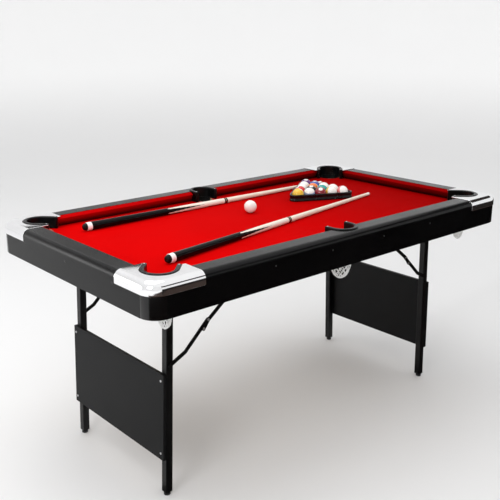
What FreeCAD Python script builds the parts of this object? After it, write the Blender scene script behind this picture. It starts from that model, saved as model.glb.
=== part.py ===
import FreeCAD, Part
import math
import os
import re
from FreeCAD import Vector as V, Rotation, Placement

# Folding-leg pool table with drop pockets, cues, balls and rack.
# Frame: origin on the floor under the middle of the table, +X along the
# length (to the right), +Y to the rear, +Z up.  Millimetres.

doc = FreeCAD.newDocument("pool_table")

SIZES = [
    ("table_len", 1676), ("table_wid", 914), ("table_top", 800),
    ("apron_base", 693), ("apron_thick", 15), ("corner_rad", 54),
    ("rail_round", 22), ("rail_wid", 70),
    ("bed_top", 762), ("cloth_thick", 1), ("bed_thick", 15),
    ("nose_reach", 17), ("nose_drop", 8), ("nose_thick", 4), ("cushion_foot", 6),
    ("corner_px", 738), ("corner_py", 357), ("corner_out", 57.5), ("corner_in", 43.5),
    ("corner_arm", 48), ("side_py", 378), ("side_out", 54), ("side_in", 41),
    ("side_arm", 30), ("collar_top", 804.5), ("collar_gap", 0.6), ("rail_clear", 2.4), ("board_split", 369), ("board_joint", 0.3), ("collar_edge", 2.2),
    ("corner_hole", 44), ("side_hole", 41.5),
    ("cap_thick", 2.2), ("cap_x", 652), ("cap_y", 280), ("cap_lip", 93),
    ("net_top_rad", 46), ("net_mid_rad", 43), ("net_low_rad", 37), ("net_base_rad", 15),
    ("net_base", 616), ("net_wall", 2),
    ("hinge_x", 640), ("hinge_z", 720), ("leg_y", 258), ("leg_size", 25.4),
    ("leg_wall", 1.4), ("splay", 1.75), ("leg_head", 10), ("leg_drop", 708),
    ("pin_rad", 4), ("run_gap", 0.05),
    ("panel_high", 298), ("panel_low", 589), ("panel_half", 271), ("panel_thick", 12),
    ("arm_wid", 13), ("arm_thick", 3), ("arm_pin", 3),
    ("brace_bx", 648.5), ("brace_bz", 451), ("brace_mx", 500), ("brace_mz", 564),
    ("brace_ux", 279), ("brace_uz", 733),
    ("foot_rad", 11), ("foot_high", 8), ("stem_rad", 4),
    ("ball_dia", 48), ("ball_pitch", 48.25), ("rack_tall", 27),
    ("rack_out", 32), ("rack_in", 25.2), ("rack_corner", 24),
    ("cue_len", 1220), ("cue_butt", 15), ("cue_tip", 6.2),
]
sheet = doc.addObject("Spreadsheet::Sheet", "P")
D = {}
for row, (name, value) in enumerate(SIZES, start=1):
    sheet.set("A%d" % row, name)
    sheet.set("B%d" % row, str(value))
    sheet.setAlias("B%d" % row, name)
    D[name] = float(value)
doc.recompute()
NAMES = sorted(D, key=len, reverse=True)
WORD = re.compile(r"\b(" + "|".join(NAMES) + r")\b")


def formula(text):
    """Sheet formula for an expression written with the plain size names."""
    return WORD.sub(lambda m: "P." + m.group(1), str(text))


TERM = re.compile(r"[A-Za-z_]+|[0-9.]+|[-+*/()]")


def number(text):
    """Value of the same expression, by a small recursive reader."""
    toks = TERM.findall(str(text))
    pos = [0]

    def peek():
        return toks[pos[0]] if pos[0] < len(toks) else None

    def take():
        pos[0] += 1
        return toks[pos[0] - 1]

    def factor():
        tk = take()
        if tk == "-":
            return -factor()
        if tk == "+":
            return factor()
        if tk == "(":
            v = total()
            take()
            return v
        return D[tk] if tk in D else float(tk)

    def product():
        v = factor()
        while peek() in ("*", "/"):
            if take() == "*":
                v *= factor()
            else:
                v /= factor()
        return v

    def total():
        v = product()
        while peek() in ("+", "-"):
            if take() == "+":
                v += product()
            else:
                v -= product()
        return v

    return total()


PARTS = []


def new_body(label, place=None):
    body = doc.addObject("PartDesign::Body", "b_" + label)
    body.Label = label
    if place is not None:
        body.Placement = place
    PARTS.append(body)
    return body


def plane(body, role):
    for f in body.Origin.OriginFeatures:
        if f.Role == role:
            return f
    raise RuntimeError("no plane " + role)


COUNT = [0]


def new_sketch(body, role, lift=None):
    COUNT[0] += 1
    sk = body.newObject("Sketcher::SketchObject", "sk%d" % COUNT[0])
    sk.AttachmentSupport = [(plane(body, role), "")]
    sk.MapMode = "FlatFace"
    if lift is not None:
        sk.AttachmentOffset = Placement(V(0, 0, number(lift)), Rotation())
        sk.setExpression(".AttachmentOffset.Base.z", formula(lift))
    return sk


def add_poly(sk, verts):
    """Closed polygon; every vertex is held by two sizes from the sheet."""
    import Sketcher
    pts = [V(number(a), number(b), 0) for a, b in verts]
    first = sk.GeometryCount
    n = len(pts)
    for i in range(n):
        sk.addGeometry(Part.LineSegment(pts[i], pts[(i + 1) % n]), False)
    for i in range(n):
        sk.addConstraint(Sketcher.Constraint("Coincident", first + i, 2, first + (i + 1) % n, 1))
    for i, (a, b) in enumerate(verts):
        c = sk.addConstraint(Sketcher.Constraint("DistanceX", -1, 1, first + i, 1, pts[i].x))
        sk.setExpression("Constraints[%d]" % c, formula(a))
        c = sk.addConstraint(Sketcher.Constraint("DistanceY", -1, 1, first + i, 1, pts[i].y))
        sk.setExpression("Constraints[%d]" % c, formula(b))


def add_circle(sk, cx, cy, rad):
    import Sketcher
    c0 = V(number(cx), number(cy), 0)
    g = sk.addGeometry(Part.Circle(c0, V(0, 0, 1), number(rad)), False)
    c = sk.addConstraint(Sketcher.Constraint("DistanceX", -1, 1, g, 3, c0.x))
    sk.setExpression("Constraints[%d]" % c, formula(cx))
    c = sk.addConstraint(Sketcher.Constraint("DistanceY", -1, 1, g, 3, c0.y))
    sk.setExpression("Constraints[%d]" % c, formula(cy))
    c = sk.addConstraint(Sketcher.Constraint("Radius", g, number(rad)))
    sk.setExpression("Constraints[%d]" % c, formula(rad))


def pad(body, sk, length, midplane=False, reverse=False):
    COUNT[0] += 1
    f = body.newObject("PartDesign::Pad", "pad%d" % COUNT[0])
    f.Profile = sk
    f.Length = number(length)
    f.setExpression("Length", formula(length))
    f.Midplane = midplane
    f.Reversed = reverse
    doc.recompute()
    return f


def pocket(body, sk, through=True, depth=None, reverse=False, midplane=False):
    COUNT[0] += 1
    before = body.Shape.Volume
    f = body.newObject("PartDesign::Pocket", "pocket%d" % COUNT[0])
    f.Profile = sk
    if depth is None:
        f.Type = 1
    else:
        f.Length = number(depth)
        f.setExpression("Length", formula(depth))
    f.Reversed = reverse
    f.Midplane = midplane
    doc.recompute()
    if not body.Shape.Volume < before - 0.01:
        raise RuntimeError("pocket cut nothing in " + body.Label)
    return f


def fillet(body, pick, radius):
    COUNT[0] += 1
    base = body.Tip
    names = ["Edge%d" % (i + 1) for i, e in enumerate(base.Shape.Edges) if pick(e)]
    if not names:
        raise RuntimeError("no edge to round in " + body.Label)
    f = body.newObject("PartDesign::Fillet", "round%d" % COUNT[0])
    f.Base = (base, names)
    f.Radius = number(radius)
    f.setExpression("Radius", formula(radius))
    doc.recompute()
    return f


def revolve(body, sk, angle=360.0, axis="V_Axis"):
    COUNT[0] += 1
    f = body.newObject("PartDesign::Revolution", "rev%d" % COUNT[0])
    f.Profile = sk
    f.ReferenceAxis = (sk, [axis])
    f.Angle = angle
    doc.recompute()
    return f


def prim(kind, name, sizes, place=None):
    COUNT[0] += 1
    o = doc.addObject(kind, "%s%d" % (name, COUNT[0]))
    for key, ex in sizes.items():
        setattr(o, key, number(ex))
        o.setExpression(key, formula(ex))
    if place is not None:
        o.Placement = place
    return o


def boolean(kind, label, base, tool, final=True):
    COUNT[0] += 1
    o = doc.addObject(kind, "op%d" % COUNT[0])
    o.Base = base
    o.Tool = tool
    doc.recompute()
    if final:
        o.Label = label
        PARTS.append(o)
    return o


def feature(label, shape, place=None):
    o = doc.addObject("Part::Feature", "f_" + label)
    o.Shape = shape
    if place is not None:
        o.Placement = place
    o.Label = label
    PARTS.append(o)
    return o


def at(x, y, z, axis=(0, 0, 1), angle=0.0):
    return Placement(V(x, y, z), Rotation(V(*axis), angle))


SKY = "table_top+60"
HX = D["table_len"] / 2
HY = D["table_wid"] / 2

# ---------------------------------------------------------------- bed
# Board let in between the aprons, with six round drop holes.  The cloth is
# a thin skin stretched over it with the same outline.
for label, low, thick in (("bed_board", "bed_top-cloth_thick-bed_thick", "bed_thick"),
                          ("bed_cloth", "bed_top-cloth_thick", "cloth_thick")):
    b = new_body(label)
    s = new_sketch(b, "XY_Plane", low)
    ex, ey = "table_len/2-apron_thick", "table_wid/2-apron_thick"
    add_poly(s, [("-(" + ex + ")", "-(" + ey + ")"), (ex, "-(" + ey + ")"), (ex, ey), ("-(" + ex + ")", ey)])
    pad(b, s, thick)
    s = new_sketch(b, "XY_Plane", SKY)
    for sx in ("", "-"):
        for sy in ("", "-"):
            add_circle(s, sx + "corner_px", sy + "corner_py", "corner_hole")
    add_circle(s, "0", "side_py", "side_hole")
    add_circle(s, "0", "-side_py", "side_hole")
    pocket(b, s)
    fillet(b, lambda e: e.Curve.TypeId == "Part::GeomLine" and abs(e.tangentAt(e.FirstParameter).z) > 0.99
           and abs(e.Vertexes[0].X) > 800, "corner_rad-apron_thick")

# The board is butted together from five panels, one in the middle and two at
# each end, with hair joints between them; the battens below tie them.
blank = PARTS.pop(0)
blank.Label = "board_blank"
slits = [prim("Part::Box", "slit", {"Length": "board_joint", "Width": "table_wid", "Height": "60"},
              at(sx * D["board_split"] - D["board_joint"] / 2, -HY, D["bed_top"] - 40)) for sx in (-1, 1)]
slits += [prim("Part::Box", "slit", {"Length": "table_len/2-board_split", "Width": "board_joint", "Height": "60"},
               at(x, -D["board_joint"] / 2, D["bed_top"] - 40)) for x in (-HX, D["board_split"])]
slit_set = slits[0]
for one in slits[1:]:
    slit_set = boolean("Part::Fuse", "", slit_set, one, final=False)
boolean("Part::Cut", "bed_board", blank, slit_set)

# ---------------------------------------------------------------- rails
# Each rail is a block with a thinner apron below it, one long board; its top
# outer edge is rounded and its inner edge is cut for the pocket collars.
for label, sy in (("front_rail", "-"), ("rear_rail", "")):
    b = new_body(label)
    s = new_sketch(b, "YZ_Plane")
    o, i2, i3 = "table_wid/2", "table_wid/2-rail_wid", "table_wid/2-apron_thick"
    def sgn(e, sy=sy):
        return "-(" + e + ")" if sy else e
    add_poly(s, [(sgn(o), "apron_base"), (sgn(o), "table_top"), (sgn(i2), "table_top"),
                 (sgn(i2), "bed_top"), (sgn(i3), "bed_top"), (sgn(i3), "apron_base")])
    pad(b, s, "table_len-2*corner_rad", midplane=True)
    yo = HY if sy == "" else -HY
    fillet(b, lambda e, yo=yo: abs(e.Vertexes[0].Z - D["table_top"]) < 0.01 and abs(e.Vertexes[-1].Z - D["table_top"]) < 0.01
           and abs(e.Vertexes[0].Y - yo) < 0.01 and abs(e.Vertexes[-1].Y - yo) < 0.01, "rail_round")
    s = new_sketch(b, "XY_Plane", SKY)
    add_circle(s, "corner_px", sgn("corner_py"), "corner_out+rail_clear")
    add_circle(s, "-corner_px", sgn("corner_py"), "corner_out+rail_clear")
    add_circle(s, "0", sgn("side_py"), "side_out+collar_gap")
    pocket(b, s)
    for sx in ("", "-"):
        def sg2(e, sx=sx):
            return "-(" + e + ")" if sx else e
        s = new_sketch(b, "XY_Plane", SKY)
        add_poly(s, [(sg2("table_len/2-corner_rad+1"), sgn("table_wid/2-corner_rad+1")),
                     (sg2("table_len/2-rail_wid-1"), sgn("table_wid/2-rail_wid-1")),
                     (sg2("table_len/2-corner_rad+1"), sgn("table_wid/2-rail_wid-1"))])
        pocket(b, s)

for label, sx in (("left_rail", "-"), ("right_rail", "")):
    b = new_body(label)
    s = new_sketch(b, "XZ_Plane")
    o, i2, i3 = "table_len/2", "table_len/2-rail_wid", "table_len/2-apron_thick"
    def sgn(e, sx=sx):
        return "-(" + e + ")" if sx else e
    add_poly(s, [(sgn(o), "apron_base"), (sgn(o), "table_top"), (sgn(i2), "table_top"),
                 (sgn(i2), "bed_top"), (sgn(i3), "bed_top"), (sgn(i3), "apron_base")])
    pad(b, s, "table_wid-2*corner_rad", midplane=True)
    xo = HX if sx == "" else -HX
    fillet(b, lambda e, xo=xo: abs(e.Vertexes[0].Z - D["table_top"]) < 0.01 and abs(e.Vertexes[-1].Z - D["table_top"]) < 0.01
           and abs(e.Vertexes[0].X - xo) < 0.01 and abs(e.Vertexes[-1].X - xo) < 0.01, "rail_round")
    s = new_sketch(b, "XY_Plane", SKY)
    add_circle(s, sgn("corner_px"), "corner_py", "corner_out+rail_clear")
    add_circle(s, sgn("corner_px"), "-corner_py", "corner_out+rail_clear")
    pocket(b, s)
    for sy in ("", "-"):
        def sg2(e, sy=sy):
            return "-(" + e + ")" if sy else e
        s = new_sketch(b, "XY_Plane", SKY)
        add_poly(s, [(sgn("table_len/2-corner_rad+1"), sg2("table_wid/2-corner_rad+1")),
                     (sgn("table_len/2-rail_wid-1"), sg2("table_wid/2-rail_wid-1")),
                     (sgn("table_len/2-rail_wid-1"), sg2("table_wid/2-corner_rad+1"))])
        pocket(b, s)

# ---------------------------------------------------------------- corner posts
# Quarter-round corner mouldings that close the apron at each corner.
CORNERS = (("front_left", -1, -1), ("front_right", 1, -1), ("rear_right", 1, 1), ("rear_left", -1, 1))
TURN = {"front_left": 180.0, "front_right": 270.0, "rear_right": 0.0, "rear_left": 90.0}
for name, sx, sy in CORNERS:
    b = new_body(name + "_corner_post",
                 at(sx * (HX - D["corner_rad"]), sy * (HY - D["corner_rad"]), 0, (0, 0, 1), TURN[name]))
    s = new_sketch(b, "XZ_Plane")
    add_poly(s, [("0", "bed_top"), ("0", "table_top"), ("corner_rad", "table_top"), ("corner_rad", "apron_base"),
                 ("corner_rad-apron_thick", "apron_base"), ("corner_rad-apron_thick", "bed_top")])
    revolve(b, s, 90.0)
    fillet(b, lambda e: e.Curve.TypeId == "Part::GeomCircle" and abs(e.Curve.Radius - D["corner_rad"]) < 0.01
           and abs(e.Curve.Center.z - D["table_top"]) < 0.01, "rail_round")

# ---------------------------------------------------------------- pocket collars
# U-shaped moulded collars: a half ring behind the pocket and two arms that
# run forward past the cushion ends.
def collar(label, place, out, inn, arm):
    b = new_body(label, place)
    s = new_sketch(b, "XY_Plane", "bed_top")
    add_circle(s, "0", "0", out)
    pad(b, s, "collar_top-bed_top")
    s = new_sketch(b, "XY_Plane", "bed_top")
    add_poly(s, [("0", "-" + out), (arm, "-" + out), (arm, out), ("0", out)])
    pad(b, s, "collar_top-bed_top")
    s = new_sketch(b, "XY_Plane", SKY)
    add_circle(s, "0", "0", inn)
    pocket(b, s)
    s = new_sketch(b, "XY_Plane", SKY)
    add_poly(s, [("0", "-" + inn), (arm + "+2", "-" + inn), (arm + "+2", inn), ("0", inn)])
    pocket(b, s)
    s = new_sketch(b, "XY_Plane", SKY)
    add_poly(s, [(arm, "-" + out + "-5"), (out + "+20", "-" + out + "-5"), (out + "+20", out + "+5"), (arm, out + "+5")])
    pocket(b, s)
    top = D["collar_top"]
    fillet(b, lambda e: all(abs(v.Z - top) < 0.01 for v in e.Vertexes) and e.Length > 3, "collar_edge")


for name, sx, sy in CORNERS:
    ang = math.degrees(math.atan2(-sy, -sx))
    collar(name + "_pocket_collar", at(sx * D["corner_px"], sy * D["corner_py"], 0, (0, 0, 1), ang),
           "corner_out", "corner_in", "corner_arm")
for name, sy in (("front_side", -1), ("rear_side", 1)):
    collar(name + "_pocket_collar", at(0, sy * D["side_py"], 0, (0, 0, 1), -90.0 * sy),
           "side_out", "side_in", "side_arm")

# Domed rivet heads, two on each collar, near the ends of its arms.
rivets = []
for name, sx, sy in CORNERS:
    a = math.atan2(-sy, -sx)
    for w in (-1, 1):
        u, v = D["corner_arm"] - 8, w * (D["corner_out"] + D["corner_in"]) / 2
        x = sx * D["corner_px"] + u * math.cos(a) - v * math.sin(a)
        y = sy * D["corner_py"] + u * math.sin(a) + v * math.cos(a)
        rivets.append(Part.makeCylinder(2.6, 1.0, V(x, y, D["collar_top"])))
for sy in (-1, 1):
    for w in (-1, 1):
        rivets.append(Part.makeCylinder(2.6, 1.0, V(w * (D["side_out"] + D["side_in"]) / 2,
                                                    sy * (D["side_py"] - D["side_arm"] + 8), D["collar_top"])))
feature("collar_rivets", Part.makeCompound(rivets))

# ---------------------------------------------------------------- cushions
# Rubber cushions with a sloping top, a narrow nose and an undercut face.
def cushion(label, place, length, side_end, profile, mirror):
    b = new_body(label, place)
    s = new_sketch(b, "YZ_Plane")
    add_poly(s, profile)
    pad(b, s, length, reverse=mirror)
    return b


def cush_profile(outer, sign):
    def q(e):
        return ("-(" + e + ")") if sign < 0 else e
    inner = outer + "-rail_wid"
    return [(q(inner), "bed_top"), (q(inner), "table_top-0.2"), (q(inner + "-nose_reach"), "table_top-nose_drop"),
            (q(inner + "-nose_reach"), "table_top-nose_drop-nose_thick"), (q(inner + "-cushion_foot"), "bed_top")]


LONG = "corner_px-side_out-collar_gap-10"
for label, sx, sy in (("front_left_cushion", -1, -1), ("front_right_cushion", 1, -1),
                      ("rear_left_cushion", -1, 1), ("rear_right_cushion", 1, 1)):
    b = new_body(label, at(sx * (D["side_out"] + D["collar_gap"]), 0, 0))
    s = new_sketch(b, "YZ_Plane")
    add_poly(s, cush_profile("table_wid/2", sy))
    pad(b, s, LONG, reverse=(sx < 0))
    # The corner end is cut along the collar's arm, at 45 degrees.
    k = (D["corner_out"] + D["collar_gap"]) * math.sqrt(0.5)
    s = new_sketch(b, "XY_Plane", SKY)
    x0 = D["corner_px"] - k - (D["side_out"] + D["collar_gap"])
    y0 = D["corner_py"] + k
    far = 80.0
    pts = [(sx * (x0 + 10), sy * (y0 + 10)), (sx * (x0 - far), sy * (y0 - far)), (sx * (x0 + far), sy * (y0 - far)),
           (sx * (x0 + far), sy * (y0 + 10))]
    add_poly(s, [("%.5f" % p[0], "%.5f" % p[1]) for p in pts])
    pocket(b, s)

for label, sx in (("left_cushion", -1), ("right_cushion", 1)):
    b = new_body(label)
    s = new_sketch(b, "XZ_Plane")
    add_poly(s, cush_profile("table_len/2", sx))
    pad(b, s, "2*corner_py", midplane=True)
    k = (D["corner_out"] + D["collar_gap"]) * math.sqrt(0.5)
    for sy in (-1, 1):
        x0 = D["corner_px"] + k
        y0 = D["corner_py"] - k
        far = 90.0
        s = new_sketch(b, "XY_Plane", SKY)
        pts = [(sx * (x0 + 10), sy * (y0 + 10)), (sx * (x0 - far), sy * (y0 - far)), (sx * (x0 - far), sy * (y0 + far)),
               (sx * (x0 + 10), sy * (y0 + far))]
        add_poly(s, [("%.5f" % p[0], "%.5f" % p[1]) for p in pts])
        pocket(b, s)

# ---------------------------------------------------------------- chrome caps
# Thin shells that wrap the rails round each corner: a rounded section run
# along both rails, turned through the corner, with a U cut for the collar.
def arc_pts(cx, cz, rad, a0, a1):
    am = math.radians((a0 + a1) / 2)
    a0, a1 = math.radians(a0), math.radians(a1)
    return (V(cx + rad * math.cos(a0), 0, cz + rad * math.sin(a0)),
            V(cx + rad * math.cos(am), 0, cz + rad * math.sin(am)),
            V(cx + rad * math.cos(a1), 0, cz + rad * math.sin(a1)))


def cap_section(depth):
    """Closed section in X (inward from the rail's outer face) and Z."""
    tk, rr, top, low = D["cap_thick"], D["rail_round"], D["table_top"], D["bed_top"]
    o = arc_pts(rr, top - rr, rr + tk, 180, 90)
    i = arc_pts(rr, top - rr, rr, 90, 180)
    e = [Part.LineSegment(V(-tk, 0, low), o[0]).toShape(), Part.Arc(*o).toShape(),
         Part.LineSegment(o[2], V(depth, 0, top + tk)).toShape(),
         Part.LineSegment(V(depth, 0, top + tk), V(depth, 0, top)).toShape(),
         Part.LineSegment(V(depth, 0, top), i[0]).toShape(), Part.Arc(*i).toShape(),
         Part.LineSegment(i[2], V(0, 0, low)).toShape(),
         Part.LineSegment(V(0, 0, low), V(-tk, 0, low)).toShape()]
    return Part.Face(Part.Wire(e))


def cap_shape():
    """Cap of the rear right corner, where the rails run toward -X and -Y."""
    cr = D["corner_rad"]
    # along the long rail: section in the YZ plane, run along X
    f = cap_section(D["cap_lip"])
    f.rotate(V(0, 0, 0), V(0, 0, 1), -90)      # inward is now -Y
    f.translate(V(D["cap_x"], HY, 0))
    long_run = f.extrude(V(HX - cr - D["cap_x"], 0, 0))
    f = cap_section(D["cap_lip"])
    f.rotate(V(0, 0, 0), V(0, 0, 1), 180)      # inward is now -X
    f.translate(V(HX, D["cap_y"], 0))
    end_run = f.extrude(V(0, HY - cr - D["cap_y"], 0))
    f = cap_section(cr)
    f.rotate(V(0, 0, 0), V(0, 0, 1), 180)
    f.translate(V(HX, HY - cr, 0))
    turn = f.revolve(V(HX - cr, HY - cr, 0), V(0, 0, 1), 90)
    body = long_run.fuse([end_run, turn]).removeSplitter()
    k = D["corner_out"] + D["collar_gap"]
    hole = Part.makeCylinder(k, 80, V(0, 0, 760))
    slot = Part.makeBox(D["corner_arm"] + 60, 2 * k, 80, V(0, -k, 760))
    cut = hole.fuse(slot)
    cut.rotate(V(0, 0, 0), V(0, 0, 1), -135)
    cut.translate(V(D["corner_px"], D["corner_py"], 0))
    return body.cut(cut)


cap0 = cap_shape()
for name, sx, sy in CORNERS:
    sh = cap0.copy()
    if sx < 0:
        sh = sh.mirror(V(0, 0, 0), V(1, 0, 0))
    if sy < 0:
        sh = sh.mirror(V(0, 0, 0), V(0, 1, 0))
    sols = sh.Solids
    feature(name + "_corner_cap", sols[0] if len(sols) == 1 else Part.makeCompound(sols))

# ---------------------------------------------------------------- pocket nets
# Thin-walled hanging bags under the drop holes.
def net(label, x, y, extra):
    b = new_body(label, at(x, y, 0))
    s = new_sketch(b, "XZ_Plane")
    top = "bed_top-cloth_thick-bed_thick"
    w = "-net_wall"
    g = "+" + str(extra)
    add_poly(s, [("0", "net_base"), ("net_base_rad", "net_base"), ("28", "net_base+12"), ("net_low_rad" , "net_base+34"),
                 ("net_mid_rad" + g, "apron_base"), ("net_top_rad" + g, top),
                 ("net_top_rad" + g + w, top), ("net_mid_rad" + g + w, "apron_base"), ("net_low_rad" + w, "net_base+35"),
                 ("28" + w, "net_base+13.5"), ("net_base_rad" + w, "net_base+net_wall"), ("0", "net_base+net_wall")])
    revolve(b, s)


for name, sx, sy in CORNERS:
    net(name + "_pocket_net", sx * D["corner_px"], sy * D["corner_py"], 1)
net("front_side_pocket_net", 0, -D["side_py"], 0)
net("rear_side_pocket_net", 0, D["side_py"], 0)

# ---------------------------------------------------------------- underframe
BED_LOW = D["bed_top"] - D["cloth_thick"] - D["bed_thick"]
FRAME = []
for sy in (-1, 1):
    FRAME.append(Part.makeBox(1200, 18, 30, V(-600, 291 if sy > 0 else -309, BED_LOW - 30)))
feature("bed_battens", Part.makeCompound(FRAME))

# Screw heads on the aprons, four on each long side and three on each end.
scr = []
for x in (-382, -130, 127, 387):
    for sy in (-1, 1):
        scr.append(Part.makeCylinder(3.2, 0.7, V(x, sy * HY, 760), V(0, sy, 0)))
for y in (-268, 0, 268):
    for sx in (-1, 1):
        scr.append(Part.makeCylinder(3.2, 0.7, V(sx * HX, y, 760), V(sx, 0, 0)))
feature("apron_screws", Part.makeCompound(scr))

# ---------------------------------------------------------------- hinge brackets and pins
LH = D["leg_size"] / 2
PIN = D["pin_rad"]
brk, pins = [], []
for sx in (-1, 1):
    for sy in (-1, 1):
        cx, cy = sx * D["hinge_x"], sy * D["leg_y"]
        base = Part.makeBox(34, 2 * (LH + 2.8), 3, V(cx - 17, cy - LH - 2.8, BED_LOW - 3))
        c1 = Part.makeBox(26, 2.4, BED_LOW - 708, V(cx - 13, cy + LH + 0.4, 708))
        c2 = Part.makeBox(26, 2.4, BED_LOW - 708, V(cx - 13, cy - LH - 2.8, 708))
        hole = Part.makeCylinder(PIN, 60, V(cx, cy - 30, D["hinge_z"]), V(0, 1, 0))
        brk.append(base.fuse([c1, c2]).cut(hole).removeSplitter())
        pin = Part.makeCylinder(PIN, 2 * (LH + 2.8), V(cx, cy - LH - 2.8, D["hinge_z"]), V(0, 1, 0))
        h1 = Part.makeCylinder(6.5, 1.6, V(cx, cy + LH + 2.8, D["hinge_z"]), V(0, 1, 0))
        h2 = Part.makeCylinder(6.5, 1.6, V(cx, cy - LH - 4.4, D["hinge_z"]), V(0, 1, 0))
        pins.append(pin.fuse([h1, h2]).removeSplitter())
feature("hinge_brackets", Part.makeCompound(brk))
feature("hinge_pins", Part.makeCompound(pins))

# ---------------------------------------------------------------- legs
# Square tubes on a hinge pin, splayed a little outward, with a threaded plug
# in the foot and a stud for the brace on the outer side.
def leg(label, sx, sy):
    place = at(sx * D["hinge_x"], sy * D["leg_y"], D["hinge_z"], (0, 1, 0), -sx * D["splay"])
    q, w = "leg_size/2", "leg_size/2-leg_wall"
    b = doc.addObject("PartDesign::Body", "b_" + label + "_tube")
    s = new_sketch(b, "XY_Plane", "leg_head")
    add_poly(s, [("-" + q, "-" + q), (q, "-" + q), (q, q), ("-" + q, q)])
    pad(b, s, "leg_head+leg_drop", reverse=True)
    fillet(b, lambda e: e.Curve.TypeId == "Part::GeomLine" and abs(e.tangentAt(e.FirstParameter).z) > 0.99, "2.4")
    s = new_sketch(b, "XY_Plane", "leg_head")
    add_poly(s, [("-(" + w + ")", "-(" + w + ")"), (w, "-(" + w + ")"), (w, w), ("-(" + w + ")", w)])
    pocket(b, s)
    s = new_sketch(b, "XZ_Plane")
    add_circle(s, "0", "0", "pin_rad+run_gap")
    pocket(b, s, midplane=True)
    tube = b.Shape.copy()
    # threaded plug with a through hole
    wv = D["leg_size"] / 2 - D["leg_wall"]
    plug = Part.makeBox(2 * wv, 2 * wv, 16, V(-wv, -wv, -D["leg_drop"]))
    plug = plug.cut(Part.makeCylinder(D["stem_rad"] + D["run_gap"], 40, V(0, 0, -D["leg_drop"] - 10)))
    # brace stud on the outer side, flush with the arm
    rot = Rotation(V(0, 1, 0), sx * D["splay"])
    p = rot.multVec(V(sx * D["brace_bx"] - sx * D["hinge_x"], 0, D["brace_bz"] - D["hinge_z"]))
    y0 = D["leg_size"] / 2 - D["leg_wall"]
    stud = Part.makeCylinder(D["arm_pin"], D["leg_wall"] + 0.7 + D["arm_thick"] + 0.2, V(p.x, sy * y0, p.z), V(0, sy, 0))
    tube = tube.fuse(stud).removeSplitter()
    sols = [tube.Solids[0], plug]
    comp = Part.makeCompound(sols)
    feature(label, comp, place)


for side, sx in (("left", -1), ("right", 1)):
    for end, sy in (("front", -1), ("rear", 1)):
        leg("%s_leg_%s" % (side, end), sx, sy)

# Leg panels on the outer faces of each pair of legs.
for side, sx in (("left", -1), ("right", 1)):
    hinge = Placement(V(sx * D["hinge_x"], 0, D["hinge_z"]), Rotation(V(0, 1, 0), -sx * D["splay"]))
    off = "-leg_size/2-panel_thick" if sx < 0 else "leg_size/2"
    bx = prim("Part::Box", "panel", {"Length": "panel_thick", "Width": "2*panel_half", "Height": "panel_low-panel_high"})
    bx.Placement = hinge.multiply(Placement(V(number(off), -D["panel_half"], -D["panel_low"]), Rotation()))
    bx.Label = side + "_leg_panel"
    PARTS.append(bx)
    heads = []
    xs = sx * (LH + D["panel_thick"])
    for sy in (-1, 1):
        for z in (-D["panel_high"] - 22, -D["panel_low"] + 22):
            heads.append(Part.makeCylinder(4.0, 1.4, V(xs, sy * D["leg_y"], z), V(sx, 0, 0)))
    feature(side + "_panel_screws", Part.makeCompound(heads), hinge)

# ---------------------------------------------------------------- folding braces
# Two flat arms a side: the lower one turns on the leg's stud, the upper one
# on the anchor under the bed.  They lie in planes side by side.
def strip(points, y0, y1, holes, wide):
    """Flat bar through the points in XZ, from y0 to y1, with round ends."""
    lo, hi = min(y0, y1), max(y0, y1)
    out = None
    for (ax, az), (bx2, bz) in zip(points[:-1], points[1:]):
        L = math.hypot(bx2 - ax, bz - az)
        seg = Part.makeBox(L, hi - lo, wide, V(0, lo, -wide / 2))
        seg.rotate(V(0, 0, 0), V(0, 1, 0), -math.degrees(math.atan2(bz - az, bx2 - ax)))
        seg.translate(V(ax, 0, az))
        out = seg if out is None else out.fuse(seg)
    for px, pz in points:
        out = out.fuse(Part.makeCylinder(wide / 2, hi - lo, V(px, lo, pz), V(0, 1, 0)))
    for px, pz, r in holes:
        out = out.cut(Part.makeCylinder(r, hi - lo + 2, V(px, lo - 1, pz), V(0, 1, 0)))
    return out.removeSplitter()


LOW0 = LH + D["leg_y"] + 0.7
LOW1 = LOW0 + D["arm_thick"]
UP0 = LOW1 + 1.1
UP1 = UP0 + D["arm_thick"]
B = (D["brace_bx"], D["brace_bz"])
M = (D["brace_mx"], D["brace_mz"])
U = (D["brace_ux"], D["brace_uz"])
anchors = []
for side, sx in (("left", -1), ("right", 1)):
    low, up = [], []
    for sy in (-1, 1):
        pts = [(sx * B[0], B[1]), (sx * 590, 479), (sx * M[0], M[1])]
        low.append(strip(pts, sy * LOW0, sy * LOW1, [(sx * B[0], B[1], D["arm_pin"] + D["run_gap"])], D["arm_wid"]).Solids[0])
        pts = [(sx * 519, 538), (sx * M[0], M[1]), (sx * U[0], U[1])]
        arm = strip(pts, sy * UP0, sy * UP1, [(sx * U[0], U[1], D["arm_pin"] + D["run_gap"])], D["arm_wid"])
        for px, pz in ((M[0], M[1]), (519, 538)):
            arm = arm.fuse(Part.makeCylinder(4.6, 1.6, V(sx * px, sy * UP1, pz), V(0, sy, 0)))
        up.append(arm.Solids[0])
        # anchor: plate beside the arm, flange under the bed, fixed stud
        pl0, pl1 = sy * (UP1 + 0.6), sy * (UP1 + 3.6)
        plate = Part.makeBox(26, 3, BED_LOW - U[1] + 9, V(sx * U[0] - 13, min(pl0, pl1), U[1] - 9))
        fl = Part.makeBox(26, 11.5, 3, V(sx * U[0] - 13, min(pl0, sy * (UP1 + 12.1)), BED_LOW - 3))
        st = Part.makeCylinder(D["arm_pin"], UP1 + 0.6 - UP0 + 0.4, V(sx * U[0], sy * (UP0 - 0.4), U[1]), V(0, sy, 0))
        anchors.append(plate.fuse([fl, st]).removeSplitter().Solids[0])
    feature(side + "_brace_lower_arms", Part.makeCompound(low))
    feature(side + "_brace_upper_arms", Part.makeCompound(up))
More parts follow.
